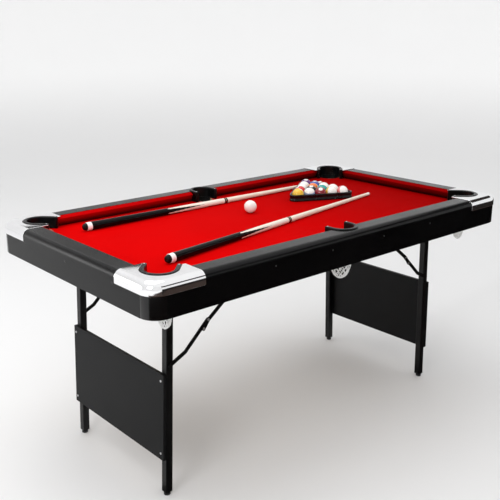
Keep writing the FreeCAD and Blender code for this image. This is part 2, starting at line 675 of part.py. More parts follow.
feature("brace_anchors", Part.makeCompound(anchors))

# ---------------------------------------------------------------- leveller feet
for side, sx in (("left", -1), ("right", 1)):
    for end, sy in (("front", -1), ("rear", 1)):
        place = at(sx * D["hinge_x"], sy * D["leg_y"], D["hinge_z"], (0, 1, 0), -sx * D["splay"])
        down = D["hinge_z"] / math.cos(math.radians(D["splay"]))
        disc = prim("Part::Cylinder", "disc", {"Radius": "foot_rad", "Height": "foot_high+1"},
                    place.multiply(Placement(V(0, 0, -down - 1), Rotation())))
        stem = prim("Part::Cylinder", "stem", {"Radius": "stem_rad", "Height": "45"},
                    place.multiply(Placement(V(0, 0, -down + 4), Rotation())))
        both = boolean("Part::Fuse", "", disc, stem, final=False)
        floor = prim("Part::Box", "floor", {"Length": "80", "Width": "80", "Height": "40"},
                     at(sx * 662 - 40, sy * D["leg_y"] - 40, -40))
        boolean("Part::Cut", "%s_%s_leveller" % (side, end), both, floor)

# ---------------------------------------------------------------- balls, rack and cues
BED = D["bed_top"]
RB = D["ball_dia"] / 2
feature("cue_ball", Part.makeSphere(RB, V(-4, 80, BED + RB)))
p0 = V(285, 112, BED + RB)
ang = math.atan2(30 - 112, 460 - 285)
e1 = V(math.cos(ang), math.sin(ang), 0) * D["ball_pitch"]
e2 = V(math.cos(ang + math.pi / 3), math.sin(ang + math.pi / 3), 0) * D["ball_pitch"]
balls = []
for j in range(5):
    for i in range(5 - j):
        balls.append(Part.makeSphere(RB, p0 + e1 * i + e2 * j))
feature("object_balls", Part.makeCompound(balls))


def rounded_triangle(reach, corner, z0, z1):
    """Triangle round the ball centres, its sides 'reach' outside them."""
    verts = [p0, p0 + e1 * 4, p0 + e2 * 4]
    cen = (verts[0] + verts[1] + verts[2]) * (1.0 / 3)
    cs = []
    for vtx in verts:
        d = vtx - cen
        d.z = 0
        d.normalize()
        c = vtx + d * (2 * (reach - corner))
        cs.append(V(c.x, c.y, z0))
    edges = []
    for k in range(3):
        a, b2 = cs[k], cs[(k + 1) % 3]
        t = b2 - a
        t.normalize()
        n = V(t.y, -t.x, 0)
        edges.append(Part.LineSegment(a + n * corner, b2 + n * corner).toShape())
        c3 = cs[(k + 2) % 3]
        t2 = c3 - b2
        t2.normalize()
        n2 = V(t2.y, -t2.x, 0)
        mid = n + n2
        mid.normalize()
        edges.append(Part.Arc(b2 + n * corner, b2 + mid * corner, b2 + n2 * corner).toShape())
    return Part.Face(Part.Wire(edges)).extrude(V(0, 0, z1 - z0))


grow = D["rack_out"] - D["rack_corner"]
feature("ball_rack", rounded_triangle(D["rack_out"], D["rack_corner"], BED, BED + D["rack_tall"])
        .cut(rounded_triangle(D["rack_in"], D["rack_in"] - grow, BED - 5, BED + 60)))


def cue(label, ax, ay, bx2, by):
    """Straight taper with a rounded bumper, lying on the bed on its side."""
    L = D["cue_len"]
    rb, rt = D["cue_butt"], D["cue_tip"]
    body = new_body(label)
    s = new_sketch(body, "XZ_Plane")
    add_poly(s, [("0", "0"), ("cue_butt*0.62", "0"), ("cue_butt*0.82", "5"), ("cue_butt*0.97", "12"), ("cue_butt", "30"),
                 ("cue_tip", "cue_len-14"), ("cue_tip*0.97", "cue_len-4"), ("cue_tip*0.6", "cue_len"), ("0", "cue_len")])
    revolve(body, s)
    slope = math.degrees(math.atan2(rb - rt, L - 44))
    head = math.atan2(by - ay, bx2 - ax)
    # axis along +X with the tip low enough for the taper to lie on the bed
    r = Rotation(V(0, 0, 1), math.degrees(head)).multiply(Rotation(V(0, 1, 0), 90 + slope))
    z0 = BED + 0.25 + rb / math.cos(math.radians(slope)) + 30 * math.sin(math.radians(slope))
    body.Placement = Placement(V(ax, ay, z0), r)


cue("front_cue", -627, -235, 580, -17)
cue("rear_cue", -625, 258, 595, 270.6)

# ---------------------------------------------------------------- checks and output
doc.recompute()
bad = []
for o in doc.Objects:
    if any(k in ("Invalid", "Error") for k in o.State):
        bad.append("%s: %s" % (o.Label, o.State))
for o in PARTS:
    if o.Shape.isNull() or not o.Shape.isValid():
        bad.append(o.Label + ": bad shape")
if bad:
    raise RuntimeError("; ".join(bad))
if len(PARTS) > 60:
    raise RuntimeError("too many parts")
os.makedirs("parts", exist_ok=True)
for o in PARTS:
    sh = o.Shape
    if len(sh.Solids) == 1 and sh.ShapeType == "Compound":
        sh = sh.Solids[0]
    sh.exportStep("parts/%s.step" % o.Label)
    bb = sh.BoundBox
    print("%-28s n=%d vol=%.0f  x %.1f..%.1f y %.1f..%.1f z %.1f..%.1f" % (
        o.Label, len(sh.Solids), sh.Volume, bb.XMin, bb.XMax, bb.YMin, bb.YMax, bb.ZMin, bb.ZMax))
print(len(PARTS), "parts")
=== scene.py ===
import bpy
import bmesh
import math
import random
from mathutils import Vector, Matrix, Quaternion, Euler


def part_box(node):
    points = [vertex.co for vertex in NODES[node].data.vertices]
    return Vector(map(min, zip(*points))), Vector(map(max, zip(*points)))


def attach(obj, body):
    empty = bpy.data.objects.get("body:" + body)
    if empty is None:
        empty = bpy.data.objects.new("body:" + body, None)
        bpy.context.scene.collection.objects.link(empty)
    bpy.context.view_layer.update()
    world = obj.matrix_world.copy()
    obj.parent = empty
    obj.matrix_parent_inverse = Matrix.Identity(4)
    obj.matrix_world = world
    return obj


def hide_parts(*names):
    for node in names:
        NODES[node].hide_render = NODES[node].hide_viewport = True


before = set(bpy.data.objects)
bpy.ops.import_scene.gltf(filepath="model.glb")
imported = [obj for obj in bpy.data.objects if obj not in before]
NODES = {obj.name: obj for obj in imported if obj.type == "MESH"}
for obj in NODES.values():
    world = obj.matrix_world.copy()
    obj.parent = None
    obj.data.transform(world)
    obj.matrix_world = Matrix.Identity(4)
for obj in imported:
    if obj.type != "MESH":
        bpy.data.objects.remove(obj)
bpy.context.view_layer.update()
TAU = 2 * math.pi

# ------------------------------------------------------------------ camera
cam_data = bpy.data.cameras.new("cam")
cam = bpy.data.objects.new("cam", cam_data)
bpy.context.scene.collection.objects.link(cam)
bpy.context.scene.camera = cam
F, AZ, EL, ROLL = 782.32568, -0.704999, 0.266467, -0.002318
CX, CY = 229.99, 229.99
cam_data.sensor_width = 36.0
cam_data.lens = F * 36.0 / 500.0
cam_data.shift_x = (250.0 - CX) / 500.0
cam_data.shift_y = (CY - 250.0) / 500.0
cam_data.clip_start, cam_data.clip_end = 0.05, 60.0
fwd = Vector((-math.sin(AZ) * math.cos(EL), math.cos(AZ) * math.cos(EL), -math.sin(EL)))
rgt = Vector((math.cos(AZ), math.sin(AZ), 0.0))
upv = rgt.cross(fwd)
r2 = math.cos(ROLL) * rgt + math.sin(ROLL) * upv
u2 = -math.sin(ROLL) * rgt + math.cos(ROLL) * upv
cam.matrix_world = Matrix(((r2.x, u2.x, -fwd.x, -1.937684), (r2.y, u2.y, -fwd.y, -2.072613),
                           (r2.z, u2.z, -fwd.z, 1.483495), (0, 0, 0, 1)))


# ------------------------------------------------------------------ node helpers
def new_mat(name):
    m = bpy.data.materials.new(name)
    m.use_nodes = True
    nt = m.node_tree
    return m, nt, nt.nodes["Principled BSDF"]


class G:
    """Small helper that adds nodes to a material's tree."""

    def __init__(self, nt):
        self.nt = nt

    def add(self, kind, **props):
        n = self.nt.nodes.new(kind)
        for k, v in props.items():
            setattr(n, k, v)
        return n

    def link(self, a, b):
        self.nt.links.new(a, b)

    def coord(self, scale=(1, 1, 1), rot=(0, 0, 0), kind="Object"):
        tc = self.add("ShaderNodeTexCoord")
        mp = self.add("ShaderNodeMapping")
        mp.inputs["Scale"].default_value = scale
        mp.inputs["Rotation"].default_value = rot
        self.link(tc.outputs[kind], mp.inputs["Vector"])
        return mp.outputs["Vector"]

    def noise(self, vec, scale, detail=4.0, rough=0.55, dist=0.0):
        n = self.add("ShaderNodeTexNoise")
        n.inputs["Scale"].default_value = scale
        n.inputs["Detail"].default_value = detail
        n.inputs["Roughness"].default_value = rough
        n.inputs["Distortion"].default_value = dist
        if vec is not None:
            self.link(vec, n.inputs["Vector"])
        return n.outputs["Fac"]

    def voronoi(self, vec, scale, feature="F1", out="Distance"):
        n = self.add("ShaderNodeTexVoronoi", feature=feature)
        n.inputs["Scale"].default_value = scale
        self.link(vec, n.inputs["Vector"])
        return n.outputs[out]

    def ramp(self, fac, stops):
        n = self.add("ShaderNodeValToRGB")
        el = n.color_ramp.elements
        while len(el) > 1:
            el.remove(el[-1])
        el[0].position, el[0].color = stops[0][0], (*stops[0][1], 1) if len(stops[0][1]) == 3 else stops[0][1]
        for p, c in stops[1:]:
            e = el.new(p)
            e.color = (*c, 1) if len(c) == 3 else c
        self.link(fac, n.inputs["Fac"])
        return n.outputs["Color"]

    def maprange(self, fac, a, b, c, d, smooth=False):
        n = self.add("ShaderNodeMapRange")
        if smooth:
            n.interpolation_type = "SMOOTHSTEP"
        for i, v in zip(("From Min", "From Max", "To Min", "To Max"), (a, b, c, d)):
            n.inputs[i].default_value = v
        self.link(fac, n.inputs["Value"])
        return n.outputs["Result"]

    def math(self, op, a, b=None, c=None):
        n = self.add("ShaderNodeMath", operation=op)
        for i, v in enumerate((a, b, c)):
            if v is None:
                continue
            if isinstance(v, (int, float)):
                n.inputs[i].default_value = v
            else:
                self.link(v, n.inputs[i])
        return n.outputs[0]

    def mix(self, fac, a, b, blend="MIX"):
        n = self.add("ShaderNodeMix", data_type="RGBA", blend_type=blend)
        for key, v in ((0, fac), (6, a), (7, b)):
            if isinstance(v, (int, float)):
                n.inputs[key].default_value = v
            elif isinstance(v, tuple):
                n.inputs[key].default_value = (*v, 1) if len(v) == 3 else v
            else:
                self.link(v, n.inputs[key])
        return n.outputs[2]

    def bump(self, height, strength, distance, prev=None):
        n = self.add("ShaderNodeBump")
        n.inputs["Strength"].default_value = strength
        n.inputs["Distance"].default_value = distance
        self.link(height, n.inputs["Height"])
        if prev is not None:
            self.link(prev, n.inputs["Normal"])
        return n.outputs["Normal"]

    def sep(self, vec):
        n = self.add("ShaderNodeSeparateXYZ")
        self.link(vec, n.inputs[0])
        return n.outputs[0], n.outputs[1], n.outputs[2]


# ------------------------------------------------------------------ materials
def mat_laminate(name, base=(0.006, 0.006, 0.0065), rough=0.30, spec=0.5, coat=0.0, edge=True):
    """Black foil-faced board: faint pore texture, soft haze, small scuffs."""
    m, nt, b = new_mat(name)
    g = G(nt)
    v = g.coord()
    n1 = g.noise(v, 6.0, 5)
    n2 = g.noise(v, 900.0, 2)
    n3 = g.noise(g.coord(scale=(1, 1, 14)), 40.0, 6, 0.7)
    col = g.mix(g.maprange(n1, 0.3, 0.75, 0.0, 1.0), base, tuple(c * 1.7 for c in base))
    scuff = g.maprange(n3, 0.70, 0.82, 0.0, 1.0)
    col = g.mix(g.math("MULTIPLY", scuff, 0.18), col, (0.03, 0.03, 0.03))
    g.link(col, b.inputs["Base Color"])
    r = g.math("ADD", g.maprange(n1, 0.25, 0.8, rough - 0.05, rough + 0.06), g.math("MULTIPLY", n2, 0.05))
    g.link(r, b.inputs["Roughness"])
    g.link(g.bump(n2, 0.10, 0.0002), b.inputs["Normal"])
    b.inputs["Specular IOR Level"].default_value = spec
    b.inputs["Coat Weight"].default_value = coat
    b.inputs["Coat Roughness"].default_value = 0.12
    return m


def mat_cloth(name, base=(0.80, 0.0008, 0.0012), dark=(0.66, 0.0004, 0.0007), painted_nose_shade=False):
    """Napped woven table cloth. fade: painted shade under the nose; the cushion cloth is greyed
    and darker there, where the overhang would shade it."""
    m, nt, b = new_mat(name)
    g = G(nt)
    v = g.coord()
    n1 = g.noise(v, 2.6, 4, 0.6)
    fibre = g.noise(g.coord(scale=(1, 3.0, 1)), 1300.0, 3, 0.7)
    w = g.add("ShaderNodeTexWave", wave_type="BANDS", bands_direction="DIAGONAL")
    w.inputs["Scale"].default_value = 420.0
    w.inputs["Distortion"].default_value = 1.6
    g.link(v, w.inputs["Vector"])
    col = g.mix(g.maprange(n1, 0.3, 0.7, 0.0, 0.55), base, dark)
    col = g.mix(g.maprange(fibre, 0.35, 0.75, 0.0, 0.22), col, (0.74, 0.002, 0.003))
    col = g.mix(g.math("MULTIPLY", w.outputs["Fac"], 0.12), col, dark)
    if painted_nose_shade:
        # painted shade: the colour darkens over the band below the cushion's nose, darkest towards its foot
        z = g.sep(v)[2]
        low = g.maprange(z, 0.7655, 0.7945, 1.0, 0.0, True)
        col = g.mix(g.math("MULTIPLY", low, 0.93), col, (0.030, 0.0004, 0.0006))
    # painted light falloff: the cloth colour darkens towards the far end, +x, where less light reaches
    x = g.sep(v)[0]
    col = g.mix(g.maprange(x, -0.55, 0.80, 0.0, 0.52, True), col, (0.0, 0.0, 0.0))
    g.link(col, b.inputs["Base Color"])
    g.link(g.maprange(fibre, 0.2, 0.8, 0.88, 1.0), b.inputs["Roughness"])
    nrm = g.bump(fibre, 0.35, 0.0004)
    g.link(g.bump(w.outputs["Fac"], 0.15, 0.0002, nrm), b.inputs["Normal"])
    b.inputs["Specular IOR Level"].default_value = 0.012
    b.inputs["Sheen Weight"].default_value = 0.006
    b.inputs["Sheen Roughness"].default_value = 0.5
    b.inputs["Sheen Tint"].default_value = (1.0, 0.05, 0.04, 1)
    return m


def mat_chrome(name):
    m, nt, b = new_mat(name)
    g = G(nt)
    v = g.coord()
    n1 = g.noise(v, 9.0, 3)
    n2 = g.noise(g.coord(scale=(1, 1, 1)), 260.0, 4, 0.7)
    g.link(g.mix(g.maprange(n1, 0.3, 0.7, 0, 1), (0.93, 0.93, 0.94), (0.88, 0.88, 0.89)), b.inputs["Base Color"])
    g.link(g.maprange(n2, 0.45, 0.85, 0.03, 0.09), b.inputs["Roughness"])
    g.link(g.bump(n1, 0.04, 0.0015), b.inputs["Normal"])
    b.inputs["Metallic"].default_value = 1.0
    return m


def mat_metal(name, base=(0.6, 0.6, 0.6), rough=0.3):
    m, nt, b = new_mat(name)
    g = G(nt)
    n1 = g.noise(g.coord(), 420.0, 4, 0.7)
    g.link(g.mix(n1, base, tuple(c * 0.72 for c in base)), b.inputs["Base Color"])
    g.link(g.maprange(n1, 0.3, 0.8, rough - 0.08, rough + 0.14), b.inputs["Roughness"])
    g.link(g.bump(n1, 0.12, 0.0002), b.inputs["Normal"])
    b.inputs["Metallic"].default_value = 1.0
    return m


def mat_plastic(name, base=(0.012, 0.012, 0.0125), rough=0.38, grain=700.0, amount=0.2, spec=0.5):
    """Moulded plastic or rubber with a fine spark texture."""
    m, nt, b = new_mat(name)
    g = G(nt)
    v = g.coord()
    n1 = g.noise(v, grain, 3, 0.6)
    n2 = g.noise(v, 14.0, 4)
    g.link(g.mix(g.maprange(n2, 0.3, 0.75, 0, 1), base, tuple(min(1, c * 1.5 + 0.0008) for c in base)), b.inputs["Base Color"])
    g.link(g.maprange(n2, 0.3, 0.8, rough - 0.05, rough + 0.1), b.inputs["Roughness"])
    g.link(g.bump(n1, amount, 0.0003), b.inputs["Normal"])
    b.inputs["Specular IOR Level"].default_value = spec
    return m


def mat_powder(name, base=(0.0022, 0.0022, 0.0024)):
    """Powder-coated steel: orange-peel surface, slightly worn."""
    m, nt, b = new_mat(name)
    g = G(nt)
    v = g.coord()
    peel = g.noise(v, 380.0, 3, 0.5)
    wear = g.noise(v, 30.0, 8, 0.75)
    col = g.mix(g.maprange(wear, 0.66, 0.8, 0.0, 0.6), base, (0.035, 0.034, 0.033))
    g.link(col, b.inputs["Base Color"])
    g.link(g.maprange(wear, 0.3, 0.8, 0.28, 0.46), b.inputs["Roughness"])
    g.link(g.bump(peel, 0.22, 0.0005), b.inputs["Normal"])
    b.inputs["Specular IOR Level"].default_value = 0.24
    return m


def mat_board(name):
    """Raw particle board with flakes and a pale dusty tone."""
    m, nt, b = new_mat(name)
    g = G(nt)
    v = g.coord()
    cell = g.voronoi(v, 220.0, "F1", "Color")
    fl = g.noise(g.coord(scale=(1, 2.2, 1)), 160.0, 6, 0.7)
    col = g.mix(g.maprange(fl, 0.3, 0.7, 0, 1), (0.42, 0.29, 0.17), (0.62, 0.47, 0.31))
    n = g.add("ShaderNodeSeparateColor")
    g.link(cell, n.inputs[0])
    col = g.mix(g.math("MULTIPLY", n.outputs[0], 0.35), col, (0.30, 0.19, 0.10))
    g.link(col, b.inputs["Base Color"])
    b.inputs["Roughness"].default_value = 0.85
    g.link(g.bump(fl, 0.3, 0.0006), b.inputs["Normal"])
    return m


def mat_cord(name, base=(0.92, 0.92, 0.91)):
    m, nt, b = new_mat(name)
    g = G(nt)
    v = g.coord()
    n1 = g.noise(v, 900.0, 3, 0.7)
    n2 = g.noise(v, 30.0, 3)
    g.link(g.mix(g.maprange(n2, 0.3, 0.7, 0, 1), base, tuple(c * 0.86 for c in base)), b.inputs["Base Color"])
    g.link(g.maprange(n1, 0.2, 0.8, 0.75, 0.95), b.inputs["Roughness"])
    g.link(g.bump(n1, 0.5, 0.0004), b.inputs["Normal"])
    b.inputs["Sheen Weight"].default_value = 0.2
    return m


M_RAIL = mat_laminate("rail_laminate", base=(0.0012, 0.0012, 0.0013), rough=0.20, spec=0.17)
M_POST = mat_laminate("post_moulding", base=(0.0012, 0.0012, 0.0013), rough=0.12, spec=0.42)
M_PANEL = mat_laminate("panel_laminate", base=(0.0045, 0.0045, 0.0048), rough=0.42, spec=0.10)
M_CLOTH = mat_cloth("bed_cloth_red", base=(0.66, 0.0005, 0.0008), dark=(0.52, 0.0003, 0.0005))
M_CUSH = mat_cloth("cushion_cloth_red", base=(0.52, 0.0012, 0.002), dark=(0.38, 0.0006, 0.0012), painted_nose_shade=True)
M_CHROME = mat_chrome("chrome_plate")
M_COLLAR = mat_plastic("collar_plastic", rough=0.30, base=(0.0014, 0.0014, 0.0016), spec=0.18)
M_STEEL = mat_powder("powder_black")
M_ZINC = mat_metal("zinc_plate", (0.66, 0.66, 0.67), 0.26)
M_SCREW = mat_metal("screw_black", (0.10, 0.10, 0.10), 0.42)
M_BOARD = mat_board("particle_board")
M_CORD = mat_cord("net_cord_white")
M_RUBBER = mat_plastic("rubber_black", base=(0.014, 0.014, 0.014), rough=0.62, grain=500.0, amount=0.35, spec=0.35)
M_RACK = mat_plastic("rack_plastic", rough=0.28, base=(0.0018, 0.0018, 0.002), spec=0.32)


def paint(node, *mats):
    o = NODES[node]
    o.data.materials.clear()
    for m in mats:
        o.data.materials.append(m)


# ------------------------------------------------------------------ mesh helpers
def link_mesh(name, verts, faces, mats=(), smooth=True, face_mats=None, auto=None):
    me = bpy.data.meshes.new(name)
    me.from_pydata([tuple(v) for v in verts], [], faces)
    me.validate(clean_customdata=False)
    o = bpy.data.objects.new(name, me)
    bpy.context.scene.collection.objects.link(o)
    for m in mats:
        me.materials.append(m)
    if face_mats:
        for p, k in zip(me.polygons, face_mats):
            p.material_index = k
    bm = bmesh.new()
    bm.from_mesh(me)
    bmesh.ops.recalc_face_normals(bm, faces=bm.faces)
    if auto is not None:
        for e in bm.edges:
            if len(e.link_faces) == 2:
                e.smooth = e.calc_face_angle(0.0) < auto
    bm.to_mesh(me)
    bm.free()
    for p in me.polygons:
        p.use_smooth = smooth
    me.update()
    return o


def tube_data(path, radius, sides=8, closed=False, cap=True):
    """Vertices and faces of a round tube along a list of points."""
    pts = [Vector(p) for p in path]
    n = len(pts)
    verts, faces = [], []
    prev = None
    for i in range(n):
        if closed:
            t = (pts[(i + 1) % n] - pts[i - 1]).normalized()
        else:
            t = (pts[min(i + 1, n - 1)] - pts[max(i - 1, 0)]).normalized()
        if prev is None:
            a = Vector((0, 0, 1)) if abs(t.z) < 0.9 else Vector((1, 0, 0))
            u = t.cross(a).normalized()
        else:
            u = (prev - t * prev.dot(t)).normalized()
        prev = u
        w = t.cross(u)
        r = radius[i] if isinstance(radius, (list, tuple)) else radius
        for k in range(sides):
            an = TAU * k / sides
            verts.append(pts[i] + (u * math.cos(an) + w * math.sin(an)) * r)
    rings = n if closed else n - 1
    for i in range(rings):
        j = (i + 1) % n
        for k in range(sides):
            k2 = (k + 1) % sides
            faces.append((i * sides + k, i * sides + k2, j * sides + k2, j * sides + k))
    if cap and not closed:
        faces.append(tuple(reversed(range(sides))))
        faces.append(tuple((n - 1) * sides + k for k in range(sides)))
    return verts, faces


def merge(parts):
    verts, faces = [], []
    for v, f in parts:
        off = len(verts)
        verts.extend(v)
        faces.extend(tuple(i + off for i in q) for q in f)
    return verts, faces


def lathe_data(profile, centre, axis, segs=32, start=None):
    """Surface of revolution: profile of (radius, distance along axis)."""
    axis = Vector(axis).normalized()
    a = Vector((0, 0, 1)) if abs(axis.z) < 0.9 else Vector((1, 0, 0))
    u = axis.cross(a).normalized()
    w = axis.cross(u)
    c = Vector(centre)
    verts, faces, rows = [], [], []
    for r, h in profile:
        if r < 1e-9:
            rows.append([len(verts)])
            verts.append(c + axis * h)
        else:
            rows.append(list(range(len(verts), len(verts) + segs)))
            for k in range(segs):
                an = TAU * k / segs
                verts.append(c + axis * h + (u * math.cos(an) + w * math.sin(an)) * r)
    for r0, r1 in zip(rows[:-1], rows[1:]):
        for k in range(segs):
            k2 = (k + 1) % segs
            if len(r0) == 1 and len(r1) == 1:
                continue
            if len(r0) == 1:
                faces.append((r0[0], r1[k], r1[k2]))
            elif len(r1) == 1:
                faces.append((r0[k], r0[k2], r1[0]))
            else:
                faces.append((r0[k], r0[k2], r1[k2], r1[k]))
    return verts, faces


def centre_of(node):
    lo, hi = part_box(node)
    return (lo + hi) / 2


BED_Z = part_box("bed_cloth")[1].z
TOP_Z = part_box("front_rail")[1].z
APRON_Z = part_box("front_rail")[0].z
UNDER_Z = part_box("bed_board")[0].z
OUT_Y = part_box("rear_rail")[1].y
OUT_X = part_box("right_rail")[1].x
IN_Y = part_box("rear_rail")[0].y
IN_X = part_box("right_rail")[0].x

# ------------------------------------------------------------------ carried-over CAD nodes
for n in ("front_rail", "rear_rail", "left_rail", "right_rail"):
    paint(n, M_RAIL)
CORN = ("front_left", "front_right", "rear_right", "rear_left")
SIGN = {"front_left": (-1, -1), "front_right": (1, -1), "rear_right": (1, 1), "rear_left": (-1, 1)}
for c in CORN:
    paint(c + "_corner_post", M_RAIL)
paint("bed_board", M_BOARD)
paint("bed_battens", M_BOARD)
paint("apron_screws", M_SCREW)
paint("hinge_brackets", M_STEEL)
paint("brace_anchors", M_STEEL)
paint("hinge_pins", M_ZINC)
for s in ("left", "right"):
    for e in ("front", "rear"):
        paint("%s_leg_%s" % (s, e), M_STEEL)
    paint(s + "_leg_panel", M_PANEL)
    paint(s + "_panel_screws", M_ZINC)
    paint(s + "_brace_lower_arms", M_STEEL)
    paint(s + "_brace_upper_arms", M_STEEL)

# ------------------------------------------------------------------ pockets: places and sizes
POCKETS = {}
for c in CORN:
    lo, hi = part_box(c + "_pocket_net")
    sx, sy = SIGN[c]
    POCKETS[c] = dict(centre=((lo + hi) / 2).xy, ang=math.atan2(-sy, -sx), out=0.0575, inn=0.0435, arm=0.048, net=c + "_pocket_net")
for c, sy in (("front_side", -1), ("rear_side", 1)):
    lo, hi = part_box(c + "_pocket_net")
    POCKETS[c] = dict(centre=((lo + hi) / 2).xy, ang=-sy * math.pi / 2, out=0.054, inn=0.041, arm=0.030, net=c + "_pocket_net")
COLLAR_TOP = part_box("front_left_pocket_collar")[1].z


def u_path(arm, segs=40):
    """Centre line directions of a U: list of (base point, outward normal), local frame."""
    out = []
    for i in range(9):
        out.append((Vector((arm * (1 - i / 8), 0, 0)), Vector((0, -1, 0))))
    for i in range(1, segs):
        a = -math.pi / 2 - math.pi * i / segs
        out.append((Vector((0, 0, 0)), Vector((math.cos(a), math.sin(a), 0))))
    for i in range(9):
        out.append((Vector((arm * i / 8, 0, 0)), Vector((0, 1, 0))))
    return out


def make_collar(name, p, mat):
    w = p["out"] - p["inn"]
    mid = (p["out"] + p["inn"]) / 2
    r = 0.0034
    prof = []
    # inner wall up, over the rounded top, outer wall down (offset from the mid line, height)
    prof.append((-w / 2 + 0.0006, BED_Z))
    prof.append((-w / 2, BED_Z + 0.004))
    prof.append((-w / 2, COLLAR_TOP - 0.010))
    for i in range(7):
        a = math.pi - i * math.pi / 12
        prof.append((-w / 2 + r + r * math.cos(a), COLLAR_TOP - r + r * math.sin(a)))
    prof.append((-w / 6, COLLAR_TOP - 0.0001))
    prof.append((w / 6, COLLAR_TOP - 0.0001))
    for i in range(7):
        a = math.pi / 2 - i * math.pi / 12
        prof.append((w / 2 - r + r * math.cos(a), COLLAR_TOP - r + r * math.sin(a)))
    prof.append((w / 2, COLLAR_TOP - 0.010))
    prof.append((w / 2, BED_Z))
    path = u_path(p["arm"])
    rot = Matrix.Rotation(p["ang"], 4, "Z")
    base = Vector((p["centre"].x, p["centre"].y, 0))
    verts, faces = [], []
    n = len(prof)
    # the arm ends are rounded off over the last few millimetres
    rows = []
    for idx, (b, nv) in enumerate(path):
        rows.append((b, nv, 1.0))
    end0 = [(path[0][0] + Vector((dx, 0, 0)), path[0][1], s) for dx, s in ((0.0, 0.62), (-0.0008, 0.86))]
    rows = [(path[0][0], path[0][1], 0.60), (path[0][0] - Vector((0.0012, 0, 0)), path[0][1], 0.88),
            (path[0][0] - Vector((0.0035, 0, 0)), path[0][1], 1.0)] + \
           [(b, nv, 1.0) for b, nv in path[1:-1]] + \
           [(path[-1][0] - Vector((0.0035, 0, 0)), path[-1][1], 1.0),
            (path[-1][0] - Vector((0.0012, 0, 0)), path[-1][1], 0.88), (path[-1][0], path[-1][1], 0.60)]
    for b, nv, s in rows:
        for off, z in prof:
            zz = z if s == 1.0 else min(z, COLLAR_TOP - (1 - s) * 0.008)
            v = b + nv * (mid + off * s)
            v = rot @ v + base
            verts.append((v.x, v.y, zz))
    for i in range(len(rows) - 1):
        for k in range(n - 1):
            faces.append((i * n + k, i * n + k + 1, (i + 1) * n + k + 1, (i + 1) * n + k))
        faces.append((i * n + n - 1, i * n, (i + 1) * n, (i + 1) * n + n - 1))
    faces.append(tuple(range(n)))
    faces.append(tuple(reversed(range((len(rows) - 1) * n, len(rows) * n))))
    return link_mesh(name, verts, faces, [mat], auto=math.radians(50))


def dome(centre, axis, rad, high, segs=20):
    prof = [(0.0, high)]
    for i in range(1, 6):
        a = i * math.pi / 10
        prof.append((rad * math.sin(a), high * (0.15 + 0.85 * math.cos(a))))
    prof.append((rad, 0.0))
    prof.append((0.0, 0.0))
    return lathe_data(prof, centre, axis, segs)


rivet_parts = []
for key, p in POCKETS.items():
    o = make_collar(key + "_collar_moulding", p, M_COLLAR)
    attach(o, "table")
    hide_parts(key + "_pocket_collar")
    rot = Matrix.Rotation(p["ang"], 4, "Z")
    for w in (-1, 1):
        v = rot @ Vector((p["arm"] - 0.008, w * (p["out"] + p["inn"]) / 2, 0))
        rivet_parts.append(dome((p["centre"].x + v.x, p["centre"].y + v.y, COLLAR_TOP - 0.0003), (0, 0, 1), 0.0027, 0.0013))
vv, ff = merge(rivet_parts)
riv = link_mesh("collar_rivet_heads", vv, ff, [M_ZINC], auto=math.radians(50))
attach(riv, "table")
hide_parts("collar_rivets")

# Pocket liners: plastic sleeves inside the drop holes, behind the cloth's edge.
for key, p in POCKETS.items():
    r1 = p["inn"] + (0.0002 if "side" in key else 0.0002)
    prof = [(r1, BED_Z + 0.002), (r1, UNDER_Z - 0.002), (r1 - 0.0012, UNDER_Z - 0.002), (r1 - 0.0012, BED_Z + 0.002)]
    verts, faces = [], []
    segs = 36
    for i in range(segs + 1):
        a = p["ang"] + math.pi / 2 + math.pi * i / segs
        for rr, z in prof:
            verts.append((p["centre"].x + rr * math.cos(a), p["centre"].y + rr * math.sin(a), z))
    for i in range(segs):
        for k in range(4):
            k2 = (k + 1) % 4
            faces.append((i * 4 + k, i * 4 + k2, (i + 1) * 4 + k2, (i + 1) * 4 + k))
    faces.append((0, 1, 2, 3))
    faces.append((segs * 4 + 3, segs * 4 + 2, segs * 4 + 1, segs * 4))
    o = link_mesh(key + "_pocket_liner", verts, faces, [M_COLLAR], auto=math.radians(40))
    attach(o, "table")

# ------------------------------------------------------------------ corner mouldings
def make_post(c):
    """Quarter-round corner moulding; its upright edges are eased, so a fine line shows
    where it meets the aprons."""
    sx, sy = SIGN[c]
    lo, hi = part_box(c + "_corner_post")
    R, rr, ap = 0.054, 0.022, 0.015
    cx, cy = sx * (OUT_X - R), sy * (OUT_Y - R)
    prof = []
    for i in range(11):
        a = math.pi / 2 * (1 - i / 10)
        prof.append((R - rr + rr * math.cos(a), TOP_Z - rr + rr * math.sin(a)))
    prof += [(R, TOP_Z - rr - 0.01), (R, APRON_Z + 0.0015), (R - 0.0006, APRON_Z + 0.0004), (R - 0.0015, APRON_Z),
             (R - ap + 0.001, APRON_Z), (R - ap, APRON_Z + 0.001), (R - ap, BED_Z), (0.012, BED_Z), (0.012, TOP_Z)]
    a0 = math.atan2(sy, sx) - math.pi / 4
    steps = [(0.0, 0.0011), (0.006, 0.0004), (0.014, 0.0001), (0.024, 0.0)]
    rows = [(s, e) for s, e in steps]
    n = 22
    rows += [(0.024 + (math.pi / 2 - 0.048) * i / n, 0.0) for i in range(1, n)]
    rows += [(math.pi / 2 - s, e) for s, e in reversed(steps)]
    verts, faces = [], []
    m = len(prof)
    for s, e in rows:
        a = a0 + s
        for k, (r, z) in enumerate(prof):
            r2 = r - e if r > R - 0.010 else r
            verts.append((cx + r2 * math.cos(a), cy + r2 * math.sin(a), z))
    for i in range(len(rows) - 1):
        for k in range(m):
            k2 = (k + 1) % m
            faces.append((i * m + k, (i + 1) * m + k, (i + 1) * m + k2, i * m + k2))
    faces.append(tuple(range(m)))
    faces.append(tuple(reversed(range((len(rows) - 1) * m, len(rows) * m))))
    return link_mesh(c + "_post_moulding", verts, faces, [M_POST], auto=math.radians(40))


for c in CORN:
    o = make_post(c)
    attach(o, "table")
    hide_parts(c + "_corner_post")

